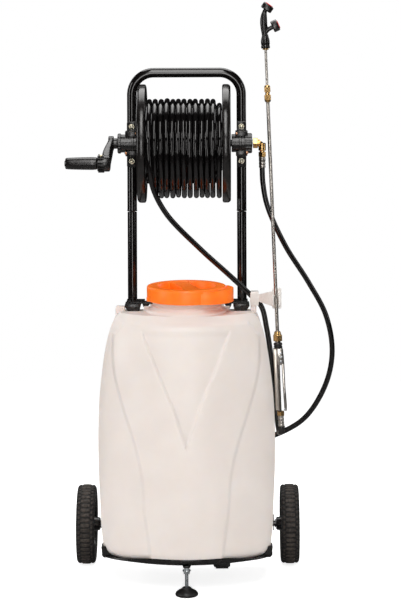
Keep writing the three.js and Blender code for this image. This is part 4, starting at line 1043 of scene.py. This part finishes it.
def build_reel():
    centre = (REEL_X, REEL_Y, REEL_Z)
    left, right = REEL_X - 86.7, REEL_X + 86.7
    core = lathe([
        (0, -166), (6, -166), (6, -162), (8, -161), (8, left), (62, left), (62, left + 4), (84, left + 6),
        (84, right - 6), (62, right - 4), (62, right), (8, right), (8, 151), (0, 151),
    ], X, (0, REEL_Y, REEL_Z), 64)
    piece("reel_core", core, BLACK, "reel_drum")
    for side, sign in (("left", -1), ("right", 1)):
        out = (sign, 0, 0)
        rim = lathe([
            (117, 90), (119, 88.4), (124, 87.2), (131, FLANGE_IN), (134.2, 88.4), (FLANGE_R, 91),
            (FLANGE_R, 100), (133.4, 103.6), (130, FLANGE_OUT), (126, FLANGE_OUT), (124.4, 104),
            (123.6, 97), (117, 96), (117, 90),
        ], out, centre, 128)
        ring = lathe([
            (63, 89), (70, 89), (71, 90), (71, 98), (70, 99), (63, 99), (63, 89),
        ], out, centre, 96)
        hub = lathe([
            (8.4, 89), (64, 89.5), (64, 97), (30, 97.5), (27, 104), (25, 105.6), (8.4, 105.8), (8.4, 89),
        ], out, centre, 64)
        spokes = []
        for i in range(8):
            t = math.pi / 4 * i + 0.2
            way = Vector((0, math.cos(t), math.sin(t)))
            across = way.cross(X)
            matrix = Matrix.Translation(centre) @ Matrix((X, across, way)).transposed().to_4x4()
            low, high = sorted((sign * 89.5, sign * 97))
            spokes.append(moved(block((low, -7, 60), (high, 7, 121)), matrix))
            low, high = sorted((sign * 96, sign * 103))
            spokes.append(moved(block((low, -1.6, 26), (high, 1.6, 124)), matrix))
        piece(f"flange_{side}_rim", merge(rim, ring, hub), GREY, f"reel_flange_{side}")
        piece(f"flange_{side}_spokes", merge(*spokes), GREY, rides=f"reel_flange_{side}", bevel=0.8)


def coil_path(radius, turns, pitch, start_x, seed, wobble, tight, sag, way=1):
    """Loops laid side by side; they hang slack under the drum, each one by a different amount."""
    points = []
    for i in range(turns * LOOP_STEPS + 1):
        t = i / LOOP_STEPS
        k, part = int(t), t - int(t)
        angle = way * 2 * math.pi * part - math.pi / 2
        # Each turn lies nearly flat and steps over to the next place at the back.
        across = start_x + pitch * (k + ease(part, 0.32, 0.68))
        across += wobble * noise.noise((k * 0.83 + seed, math.cos(angle) * 0.8, math.sin(angle) * 0.8))
        height = math.sin(angle + math.pi / 2)
        hang = sag * max(-height, 0) ** 1.5 - tight * max(height, 0) ** 1.5
        lift = radius + hang + 1.2 * wobble * noise.noise((t * 0.71 + seed, math.cos(angle), 5.0))
        points.append(Vector(
            (across, REEL_Y - lift * math.cos(angle + math.pi / 2), REEL_Z + lift * height),
        ))
    return points


def build_coil():
    half = COIL_TURNS * COIL_PITCH / 2
    outer = coil_path(
        COIL_R, COIL_TURNS - 1, COIL_PITCH, REEL_X - half + COIL_PITCH / 2, 3.1, 2.2, COIL_TIGHT,
        COIL_SAG,
    )
    under = coil_path(UNDER_R, COIL_TURNS, UNDER_PITCH, REEL_X - 80.5, 7.7, 1.0, 0, 0, -1)
    piece("coil_outer", sweep(outer, HOSE_R, 14, None, X), HOSE, "hose_coil", sharp=80)
    piece("coil_under", sweep(under, HOSE_R, 12, None, X), HOSE, rides="hose_coil", sharp=80)


def build_crank():
    grip_y = REEL_Y - CRANK_LENGTH * math.cos(CRANK_DROP)
    grip_z = REEL_Z - CRANK_LENGTH * math.sin(CRANK_DROP)
    arm_way = Vector((0, -math.cos(CRANK_DROP), -math.sin(CRANK_DROP)))
    across = Vector((0, -math.sin(CRANK_DROP), math.cos(CRANK_DROP)))
    hub = lathe([
        (6.4, 162.3), (8.6, 162.3), (8.6, 158.5), (11.4, 158.5), (12, 159.2), (12, 166), (16, 166.4),
        (17, 168), (17, 177), (16, 178.4), (0, 178.6), (0, 170), (6.4, 170), (6.4, 162.3),
    ], -X, (0, REEL_Y, REEL_Z), 48)
    rings = []
    steps = 28
    for k in range(steps + 1):
        s = k / steps
        along = -9 + (CRANK_LENGTH + 16) * s
        half = 14.5 + 4.5 * math.sin(math.pi * min(s, 0.85)) ** 0.8
        # The web bows outwards and thickens on its way to the grip.
        far = -178 - 12 * ease(s, 0.05, 0.8)
        near = -166.5 - 3 * ease(s, 0.1, 0.9)
        middle = Vector(((far + near) / 2, REEL_Y, REEL_Z)) + arm_way * along
        ring = []
        for i in range(24):
            t = 2 * math.pi * i / 24
            u = math.copysign(abs(math.cos(t)) ** 0.5, math.cos(t))
            v = math.copysign(abs(math.sin(t)) ** 0.5, math.sin(t))
            ring.append(middle + across * half * u + X * (near - far) / 2 * v)
        rings.append(ring)
    eye = lathe([
        (4.4, 171.5), (17.4, 171.5), (18.4, 173), (18.4, 197.4), (17.4, 199), (4.4, 199), (4.4, 171.5),
    ], -X, (0, grip_y, grip_z), 56)
    teeth = []
    for i in range(16):
        for step, radius in ((0.0, 20.8), (0.52, 20.8), (0.58, 18.2), (0.94, 18.2)):
            t = 2 * math.pi * (i + step) / 16
            teeth.append((grip_y + radius * math.cos(t), grip_z + radius * math.sin(t)))
    piece(
        "crank_web", merge(hub, loft(rings), eye, prism(teeth, -197, -184, "YZ")), BLACK, "crank_arm",
        sharp=35,
    )
    grip = lathe([
        (5, 200), (12.4, 200), (13.4, 200.8), (13.9, 202.4), (14, 206), (14.4, 208), (14.4, 214),
        (14, 236), (13.4, 256), (13, 266), (12.4, 269.6), (11, 271.4), (5, 271.5), (5, 200),
    ], -X, (0, grip_y, grip_z), 56)
    piece("crank_handgrip", grip, BLACK, "crank_grip", sharp=45)
    pin = merge(
        rod((-172, grip_y, grip_z), (-272, grip_y, grip_z), 4, 24),
        lathe([
            (0, 271.8), (6.2, 271.8), (6.5, 272.2), (6, 273.2), (0, 273.6),
        ], -X, (0, grip_y, grip_z), 32),
    )
    piece("crank_pin_shaft", pin, GREY, "crank_pin")
    up = Vector((0, -0.45, 0.893))
    tip = lathe([(0, 17), (3.4, 17), (3.4, 21.6), (2.6, 22.8), (0, 23)], up, (-190.6, grip_y, grip_z), 20)
    piece("crank_set_screw", tip, ZINC, rides="crank_arm")


def build_inlet():
    turn_x = 173
    bend = sweep(bent(
        [(152, REEL_Y, REEL_Z), (turn_x, REEL_Y, REEL_Z), (turn_x, REEL_Y, 938)],
        8,
        10,
        20,
    ), 5.6, 24)
    body = merge(
        bend,
        hexagon((0, REEL_Y, REEL_Z), X, 12.8, 152.2, 163, 1.0),
        sleeve(8.4, 5, 163, 168.5, X, (0, REEL_Y, REEL_Z), 40),
        lathe([
            (5, 967), (7.8, 967), (8.4, 966), (8.4, 951), (7.8, 950), (5, 950), (5, 967),
        ], Z, (turn_x, REEL_Y, 0), 40),
        hexagon((turn_x, REEL_Y, 0), Z, 9.5, 936.2, 946.6, 0.9),
    )
    piece("inlet_fitting", body, BRASS, "inlet_elbow", sharp=25)
    ferrule = lathe([
        (6.3, 911), (7.2, 911), (7.6, 912), (7.6, 915), (7.0, 916), (7.0, 918), (7.6, 919), (7.6, 922),
        (7.0, 923), (7.0, 925), (7.6, 926), (7.6, 934.6), (7.0, 935.6), (6.3, 935.6), (6.3, 911),
    ], Z, (turn_x, REEL_Y, 0), 40)
    piece("supply_ferrule_crimp", ferrule, STEEL, "supply_ferrule")


def build_hoses():
    supply = [
        (173, REEL_Y, 935.5), (173, REEL_Y, 905), (174.5, REEL_Y, 875), (184.5, -32, 823),
        (225, -29, 732), (278, -22, 647), (318, -14, 570), (332.5, -5, 485), (317, 6, 406),
        (269, 17, 328), (204, 27, 288), (140, 32, 271), (98, 31, 252), (88, 30, 234), (88, 30, 222.5),
    ]
    piece("supply_hose_skin", sweep(spline(supply, 14), HOSE_R, 20), HOSE, "supply_hose", sharp=80)
    spray = [
        (-85, -149, 985), (-85, -151.8, 973), (-84, -151.8, 950), (-80, -147, 912), (-73, -134, 872),
        (-43, -113, 812.5), (32.5, -95, 732), (95, -78, 673), (146, -62, 623), (169, -60, 598),
        (181, -62, 548), (191, -64, 480), (198, -67, 400), (203, -72, 356), (205, -80, 333),
        (208, -98, 320), (212.4, -116, 325), (212, -120, 335), tuple(LANCE),
    ]
    piece("spray_hose_skin", sweep(spline(spray, 14), HOSE_R, 20), HOSE, "spray_hose", sharp=80)
    boot = lathe([
        (6.1, -24), (6.7, -24), (7.6, -16), (8.2, -8), (7.8, -7), (6.1, -7), (6.1, -24),
    ], Z, (0, 0, 0), 32)
    piece("hose_boot", moved(boot, ON_LANCE), SOFT, rides="spray_hose")


# ---- lance


def on_lance(*shells):
    return moved(merge(*shells), ON_LANCE)


def build_trigger():
    ferrule = lathe([
        (6.1, -7), (6.6, -7), (7.1, -6), (7.1, -3), (6.5, -2), (6.5, 0), (6.9, 1), (6.9, 4), (6.2, 5),
        (6.2, 7), (6.9, 8), (6.9, 11), (6.2, 12), (6.2, 14), (6.9, 15), (6.9, 17), (6.1, 17.4), (6.1, -7),
    ], Z, (0, 0, 0), 32)
    piece("ferrule_crimp", on_lance(ferrule), STEEL, "hose_ferrule")
    piece(
        "trigger_foot_nut", on_lance(hexagon((0, 0, 0), Z, 8.8, 17.2, 26.6, 0.8)), BRASS,
        rides="hose_ferrule", sharp=25,
    )
    strap = [
        (-11, 30), (-2.8, 30), (-2.4, 60), (-2.2, 168), (-11.2, 168), (-11.2, 140), (-11, 120),
        (-10.6, 70),
    ]
    piece("trigger_strap", on_lance(prism(strap, -8.4, 8.4)), STRIP, rides="trigger_body", bevel=1.6)
    cheek = [(-4, 134), (3, 131), (10, 134), (11, 140), (11, 164), (9, 168.4), (-4, 168.4)]
    sides = [prism(cheek, -9, -7), prism(cheek, 7, 9), block((-4, -8, 165), (10, 8, 168.4))]
    piece("trigger_cheeks", on_lance(*sides), STEEL, "trigger_body", bevel=0.8)
    stem = merge(rod((-0.6, 0, 27), (-0.6, 0, 150), 2.8, 24), rod((0, 0, 150), (0, 0, 184), 6, 28))
    piece("trigger_stem", on_lance(stem), POLISHED, rides="trigger_body")
    head = [(0, 8.8), (3.1, 8.8), (2.9, 10), (1.6, 10.9), (0, 11.1)]
    rivets = [lathe(head, -Y, (5, 0, z), 20) for z in (157.5, 139.5)]
    piece("trigger_rivets", on_lance(*rivets), GALVANISED, rides="trigger_body")
    outer = [
        (6, 154), (11.6, 154), (12.4, 130), (12.4, 105), (12.8, 78), (14, 52), (14.4, 40), (13.8, 28),
    ]
    inner = [(8, 28), (8, 45), (7.2, 72), (6.8, 98), (6.6, 122), (6.4, 140)]
    shape = outer + inner
    channel = [prism(shape, -6.2, -4.4), prism(shape, 4.4, 6.2)]
    skin_out = [(x - 0.2, z) for x, z in outer[1:]]
    skin = skin_out + [(x - 2.2, z) for x, z in reversed(skin_out)]
    channel.append(prism(skin, -6, 6))
    piece("lever_channel", on_lance(*channel), POLISHED, "trigger_lever", bevel=0.5)
    pins = [rod((6, -9.3, 150), (6, 9.3, 150), 2, 20), lathe(
        [(0, 6), (2.5, 6), (2.4, 7.4), (1.3, 8.2), (0, 8.4)], -Y, (9.2, 0, 32), 20,
    )]
    piece("lever_pins", on_lance(*pins), GALVANISED, rides="trigger_lever")
    grip = lathe([
        (6.4, 169.6), (8.4, 169.6), (9.6, 170.6), (9.8, 172.4), (8.6, 173.6), (8.6, 175), (9.8, 176),
        (9.8, 178.6), (8.8, 180.2), (6.4, 180.4), (6.4, 169.6),
    ], Z, (0, 0, 0), 40)
    piece("lance_collar_ring", on_lance(grip), SOFT, "lance_collar")


def build_tubes():
    nut = merge(hexagon((0, 0, 0), Z, 11.4, 184.6, 197.6, 1.2), lathe(
        [(0, 197), (9.2, 197), (8.4, 199), (7.4, 204), (6.4, 206), (0, 206)],
        Z,
        (0, 0, 0),
        36,
    ))
    piece("lance_nut_hex", on_lance(nut), BRASS, "lance_nut", sharp=25)
    outer = [(3.3, 205.4), (4, 205.4), (4, 720.6), (3.3, 720.9), (3.3, 205.4)]
    piece("lance_outer_pipe", on_lance(lathe(outer, Z, (0, 0, 0), 28)), STEEL, "lance_outer_tube")
    coupling = merge(
        lathe([
            (3.3, 721.4), (5.2, 721.4), (6.6, 723.4), (7.4, 727), (3.3, 727), (3.3, 721.4),
        ], Z, (0, 0, 0), 36),
        hexagon((0, 0, 0), Z, 8.4, 726.4, 737.6, 0.9),
        lathe([(0, 737), (5.4, 737), (5.0, 741), (5.4, 745), (0, 745)], Z, (0, 0, 0), 36),
        hexagon((0, 0, 0), Z, 7.9, 744.4, 754, 0.9),
        lathe([(0, 753.6), (6.6, 753.6), (6.8, 756), (5.6, 759), (3.6, 760), (0, 760)], Z, (0, 0, 0), 36),
    )
    piece("lance_coupling_nuts", on_lance(coupling), BRASS, "lance_coupling", sharp=25)
    inner = [(0, 440), (3, 440), (3, 854), (0, 854)]
    piece("lance_inner_pipe", on_lance(lathe(inner, Z, (0, 0, 0), 24)), STEEL, "lance_inner_tube")


def build_nozzle():
    foot = NOZZLE_FOOT
    top, side = Vector((8, 0, foot + 92)), Vector((24.5, 0, foot + 50))
    top_way = Vector((math.cos(CAP_TOP_TILT), 0, math.sin(CAP_TOP_TILT)))
    side_way = Vector((math.cos(CAP_SIDE_TILT), 0, math.sin(CAP_SIDE_TILT)))
    collar = lathe([
        (3.4, foot), (9.4, foot), (10, foot + 0.8), (10, foot + 6), (9.3, foot + 7), (9.3, foot + 8.4),
        (10, foot + 9.4), (10, foot + 17), (9.2, foot + 21), (7.8, foot + 26), (7, foot + 31),
        (3.4, foot + 31), (3.4, foot),
    ], Z, (0, 0, 0), 40)
    path = spline([
        (0, 0, foot + 24), (-1.4, 0, foot + 38), (-1.9, 0, foot + 54), (-1.4, 0, foot + 68),
        (0.4, 0, foot + 79), tuple(top - top_way * 8),
    ], 8)
    count = len(path)
    radii = [
        6.6 + 1.6 * ease(k / count, 0.1, 0.45) - 3.6 * ease(k / count, 0.45, 1)
        for k in range(count)
    ]
    stem = sweep(path, radii, 22, [0.85] * count, Y)
    branch_path = spline([(-2, 0, foot + 31), (6.5, 0, foot + 41), tuple(side - side_way * 7.5)], 8)
    branch = sweep(branch_path, 4.9, 20)
    necks = [
        lathe([(0, -13), (4.5, -13), (4.5, 3.8), (0, 3.8)], top_way, top, 24),
        lathe([(0, -12), (4.5, -12), (4.5, 3.8), (0, 3.8)], side_way, side, 24),
    ]
    ridge = sweep([p + Vector((1.0, -6.4, 0)) for p in path[2:-6]], 1.1, 8)
    web = prism([
        (-2, foot + 30), (8, foot + 38), (8, foot + 46), (0, foot + 66), (-4, foot + 54),
    ], -2.6, 2.6)
    piece("nozzle_stem", on_lance(collar, stem, branch, ridge, *necks), BLACK, "nozzle_body", sharp=45)
    piece("nozzle_web", on_lance(web), BLACK, rides="nozzle_body", bevel=1.0)
    ring = lathe([
        (3.3, foot - 3.4), (6.4, foot - 3.4), (6.8, foot - 2.8), (6.8, foot - 0.4), (3.3, foot - 0.4),
        (3.3, foot - 3.4),
    ], Z, (0, 0, 0), 32)
    piece("nozzle_ring", on_lance(ring), BRASS, rides="nozzle_body")
    for name, spot, way in (("nozzle_cap_top", top, top_way), ("nozzle_cap_side", side, side_way)):
        cap = lathe([
            (4.8, -8), (11.6, -8), (12.9, -7.2), (13.4, -5.2), (13.4, 4.2), (12.9, 5.8), (10.8, 6.4),
            (10.2, 5.7), (4.8, 5.7), (4.8, -8),
        ], way, spot, 6, math.pi / 6)
        facets = []
        u = Vector(way).cross(Y).normalized()
        for i in range(6):
            t = math.pi / 3 * i + math.pi / 6
            spot_out = spot + (Y * math.cos(t) + u * math.sin(t)) * 10.8
            facets.append(lathe([(0, -6.2), (1.6, -5.6), (1.6, 4.2), (0, 4.8)], way, spot_out, 10))
        piece(f"{name}_hex", on_lance(merge(cap, *facets)), BLACK, name, bevel=0.5, sharp=30)
        face = lathe([
            (2, 4), (9.8, 4), (9.8, 7), (9, 7.9), (5.4, 7.9), (3.6, 6.8), (2, 6.8), (2, 4),
        ], way, spot, 32)
        piece(f"{name}_insert", on_lance(face), INSET, rides=name)


def build_holder():
    def lance_x(z):
        return LANCE.x - (z - LANCE.z) * math.tan(LEAN)

    x = lance_x(620)
    base = prism(rounded(144, 601.4, 163, 632, 3, 4), -74, -46)
    arm_low = [(160, 611), (160, 625), (192, 638), (194.5, 638), (194.5, 605.5), (192, 605.5)]
    verts, faces = prism(arm_low, -3.2, 3.2)
    # The arm runs forwards from its block to the clip.
    arm = [Vector((p.x, p.y - 66 - 38 * ease(p.x, 158, 196), p.z)) for p in verts], faces
    plate = prism(rounded(193, 600, 213.6, 646, 3, 4), -108, -104)
    jaws = []
    for sign in (-1, 1):
        near, far = x + sign * 5.4, x + sign * 8.4
        jaws.append(prism([(near, 611), (far, 611), (far, 631), (near, 631)], -126, -105))
    hose_path = spline([(95, -78, 673), (146, -62, 623), (169, -60, 598), (181, -62, 548)], 10)
    room = sweep(hose_path, HOSE_R + 1.2, 20)
    piece("holder_block", base, CLEAR, "lance_holder", cut=[room], bevel=0.8)
    piece("holder_arm", arm, CLEAR, rides="lance_holder", cut=[room], bevel=0.8)
    piece("holder_clip", merge(plate, *jaws), CLEAR, rides="lance_holder", bevel=0.9)


# ---- light, floor and camera

SKY_SEEN, SKY_ON_DULL, SKY_ON_SHINY = 1.0, 0.2, 0.02
FLOOR_R, FLOOR_FADE, FLOOR_GLOW = 9.0, (0.7, 2.6), 0.8  # metres, metres, strength
FLOOR_MIRRORED = (0.3, 0.3, 0.3, 1)
WARM_WHITE = (1.0, 0.985, 0.97)


def softbox(name, spot, size, power, colour=(1, 1, 1), aim=(0.0, 0.1, 0.55)):
    light = bpy.data.lights.new(name, "AREA")
    light.shape = "RECTANGLE"
    light.size, light.size_y = size
    light.energy = power
    light.color = colour
    obj = bpy.data.objects.new(name, light)
    obj.location = spot
    obj.rotation_mode = "QUATERNION"
    obj.rotation_quaternion = (Vector(spot) - Vector(aim)).to_track_quat("Z", "Y")
    obj.visible_camera = False
    bpy.context.scene.collection.objects.link(obj)
    return obj


def build_lights():
    softbox("front_high", (0.0, -1.9, 3.1), (1.0, 2.6), 62, WARM_WHITE, (0.0, 0.23, 0.97))
    softbox("front_low", (0.0, -3.2, 0.92), (0.7, 1.75), 24, WARM_WHITE, (0.0, 0.1, 0.8))
    softbox("left_strip", (-2.7, -0.9, 1.3), (0.45, 1.9), 22, (1.0, 0.985, 0.975))
    softbox("right_strip", (2.8, -0.8, 1.3), (0.45, 1.9), 11, (1.0, 0.98, 0.965))
    softbox("overhead", (0.0, 1.25, 3.0), (2.2, 1.7), 46, (1.0, 0.99, 0.98))
    softbox("rear_left", (-2.0, 2.4, 1.8), (1.0, 1.6), 10)
    softbox("rear_right", (2.2, 2.2, 1.6), (1.0, 1.6), 10)


def build_sky():
    world = bpy.data.worlds.new("studio")
    bpy.context.scene.world = world
    world.use_nodes = True
    tree = world.node_tree
    background = tree.nodes["Background"]
    path = tree.nodes.new("ShaderNodeLightPath")
    mix = tree.nodes.new("ShaderNodeMix")
    mix.data_type = "FLOAT"
    tree.links.new(path.outputs["Is Camera Ray"], mix.inputs["Factor"])
    glossy = tree.nodes.new("ShaderNodeMix")
    glossy.data_type = "FLOAT"
    tree.links.new(path.outputs["Is Glossy Ray"], glossy.inputs["Factor"])
    glossy.inputs[2].default_value = SKY_ON_DULL
    glossy.inputs[3].default_value = SKY_ON_SHINY
    tree.links.new(glossy.outputs[0], mix.inputs[2])
    mix.inputs[3].default_value = SKY_SEEN
    tree.links.new(mix.outputs[0], background.inputs["Strength"])
    background.inputs["Color"].default_value = (1, 1, 1, 1)


def build_floor():
    mesh = bpy.data.meshes.new("floor")
    n = 48
    turns = [2 * math.pi * i / n for i in range(n)]
    verts = [(0, 0, 0)] + [(FLOOR_R * math.cos(t), FLOOR_R * math.sin(t), 0) for t in turns]
    mesh.from_pydata(verts, [], [(0, i + 1, (i + 1) % n + 1) for i in range(n)])
    floor = bpy.data.objects.new("floor", mesh)
    bpy.context.scene.collection.objects.link(floor)
    look = Look("floor")
    distance = look.node("ShaderNodeVectorMath", operation="LENGTH")
    look.link(look.place, distance.inputs[0])
    fade = look.between(distance.outputs["Value"], *FLOOR_FADE, 0.0, 1.0)
    grain = look.between(look.noise(350, 2), 0.3, 0.7, 0, 1)
    rays = look.node("ShaderNodeLightPath")
    look.set(
        Base_Color=look.blend(grain, (0.93, 0.93, 0.93), (0.95, 0.95, 0.95)),
        Roughness=0.85,
        Specular_IOR_Level=0.1,
        Emission_Color=(1, 1, 1),
        Emission_Strength=look.between(rays.outputs["Is Camera Ray"], 0, 1, 0, FLOOR_GLOW),
    )
    # The camera sees the floor lit up; shiny parts mirror a dimmer one.
    dim = look.node("ShaderNodeBsdfDiffuse")
    dim.inputs["Color"].default_value = FLOOR_MIRRORED
    seen = look.node("ShaderNodeMixShader")
    look.link(rays.outputs["Is Glossy Ray"], seen.inputs[0])
    look.link(look.shader.outputs[0], seen.inputs[1])
    look.link(dim.outputs[0], seen.inputs[2])
    clear = look.node("ShaderNodeBsdfTransparent")
    mixer = look.node("ShaderNodeMixShader")
    out = look.tree.nodes["Material Output"]
    look.link(fade, mixer.inputs[0])
    look.link(seen.outputs[0], mixer.inputs[1])
    look.link(clear.outputs[0], mixer.inputs[2])
    look.link(mixer.outputs[0], out.inputs["Surface"])
    mesh.materials.append(look.material)


CAMERA_TURN = math.radians(0.47)  # round the object, towards +X
CAMERA_ROLL = math.radians(-0.24)
CAMERA_AWAY = 4.95  # metres
CAMERA_TARGET = Vector((34.35, -100, 1373.8))  # millimetres, as high as the camera
CAMERA_LENS, CAMERA_SENSOR = 131.4, 36  # millimetres
CAMERA_FALL = -0.5576  # the level camera's frame is taken from low in its view
CAMERA_NEAR, CAMERA_FAR = 6.0, 7.0  # metres from the foot's sole


def build_camera():
    data = bpy.data.cameras.new("camera")
    data.lens = CAMERA_LENS
    data.sensor_width = CAMERA_SENSOR
    data.clip_end = 60
    camera = bpy.data.objects.new("camera", data)
    bpy.context.scene.collection.objects.link(camera)
    back = Vector((math.sin(CAMERA_TURN), -math.cos(CAMERA_TURN), 0))
    spot = AXLE + CAMERA_TARGET * MM + back * CAMERA_AWAY
    right = Vector((math.cos(CAMERA_TURN), math.sin(CAMERA_TURN), 0))
    up = back.cross(right)
    across = right * math.cos(CAMERA_ROLL) + up * math.sin(CAMERA_ROLL)
    upward = up * math.cos(CAMERA_ROLL) - right * math.sin(CAMERA_ROLL)
    camera.matrix_world = Matrix.Translation(spot) @ Matrix((across, upward, back)).transposed().to_4x4()
    # Close to, the frame is taken low in the view; from further away it is centred.
    curve = data.driver_add("shift_y")
    curve.modifiers.remove(curve.modifiers[0])  # the one a new driver starts with
    for away, fall in ((CAMERA_NEAR, CAMERA_FALL), (CAMERA_FAR, 0.0)):
        curve.keyframe_points.insert(away, fall).interpolation = "LINEAR"
    curve.driver.type = "SUM"
    away = curve.driver.variables.new()
    away.name = "away"
    away.type = "LOC_DIFF"
    away.targets[0].id = camera
    away.targets[1].id = frame["bodies"][BODY["lower_frame"]]
    bpy.context.scene.camera = camera
    bpy.context.scene.view_settings.view_transform = "Standard"


build_frame()
build_axle()
for wheel_side, wheel_sign in (("left", -1), ("right", 1)):
    build_wheel(wheel_side, wheel_sign)
build_tank()
build_strainer()
build_lid()
build_yoke()
build_tray()
build_foot()
build_back()
build_bearing("left", -112, -157.5, -149)
build_bearing("right", 103, 150, 133)
build_reel()
build_coil()
build_crank()
build_inlet()
build_hoses()
build_trigger()
build_tubes()
build_nozzle()
build_holder()
build_lights()
build_sky()
build_floor()
build_camera()
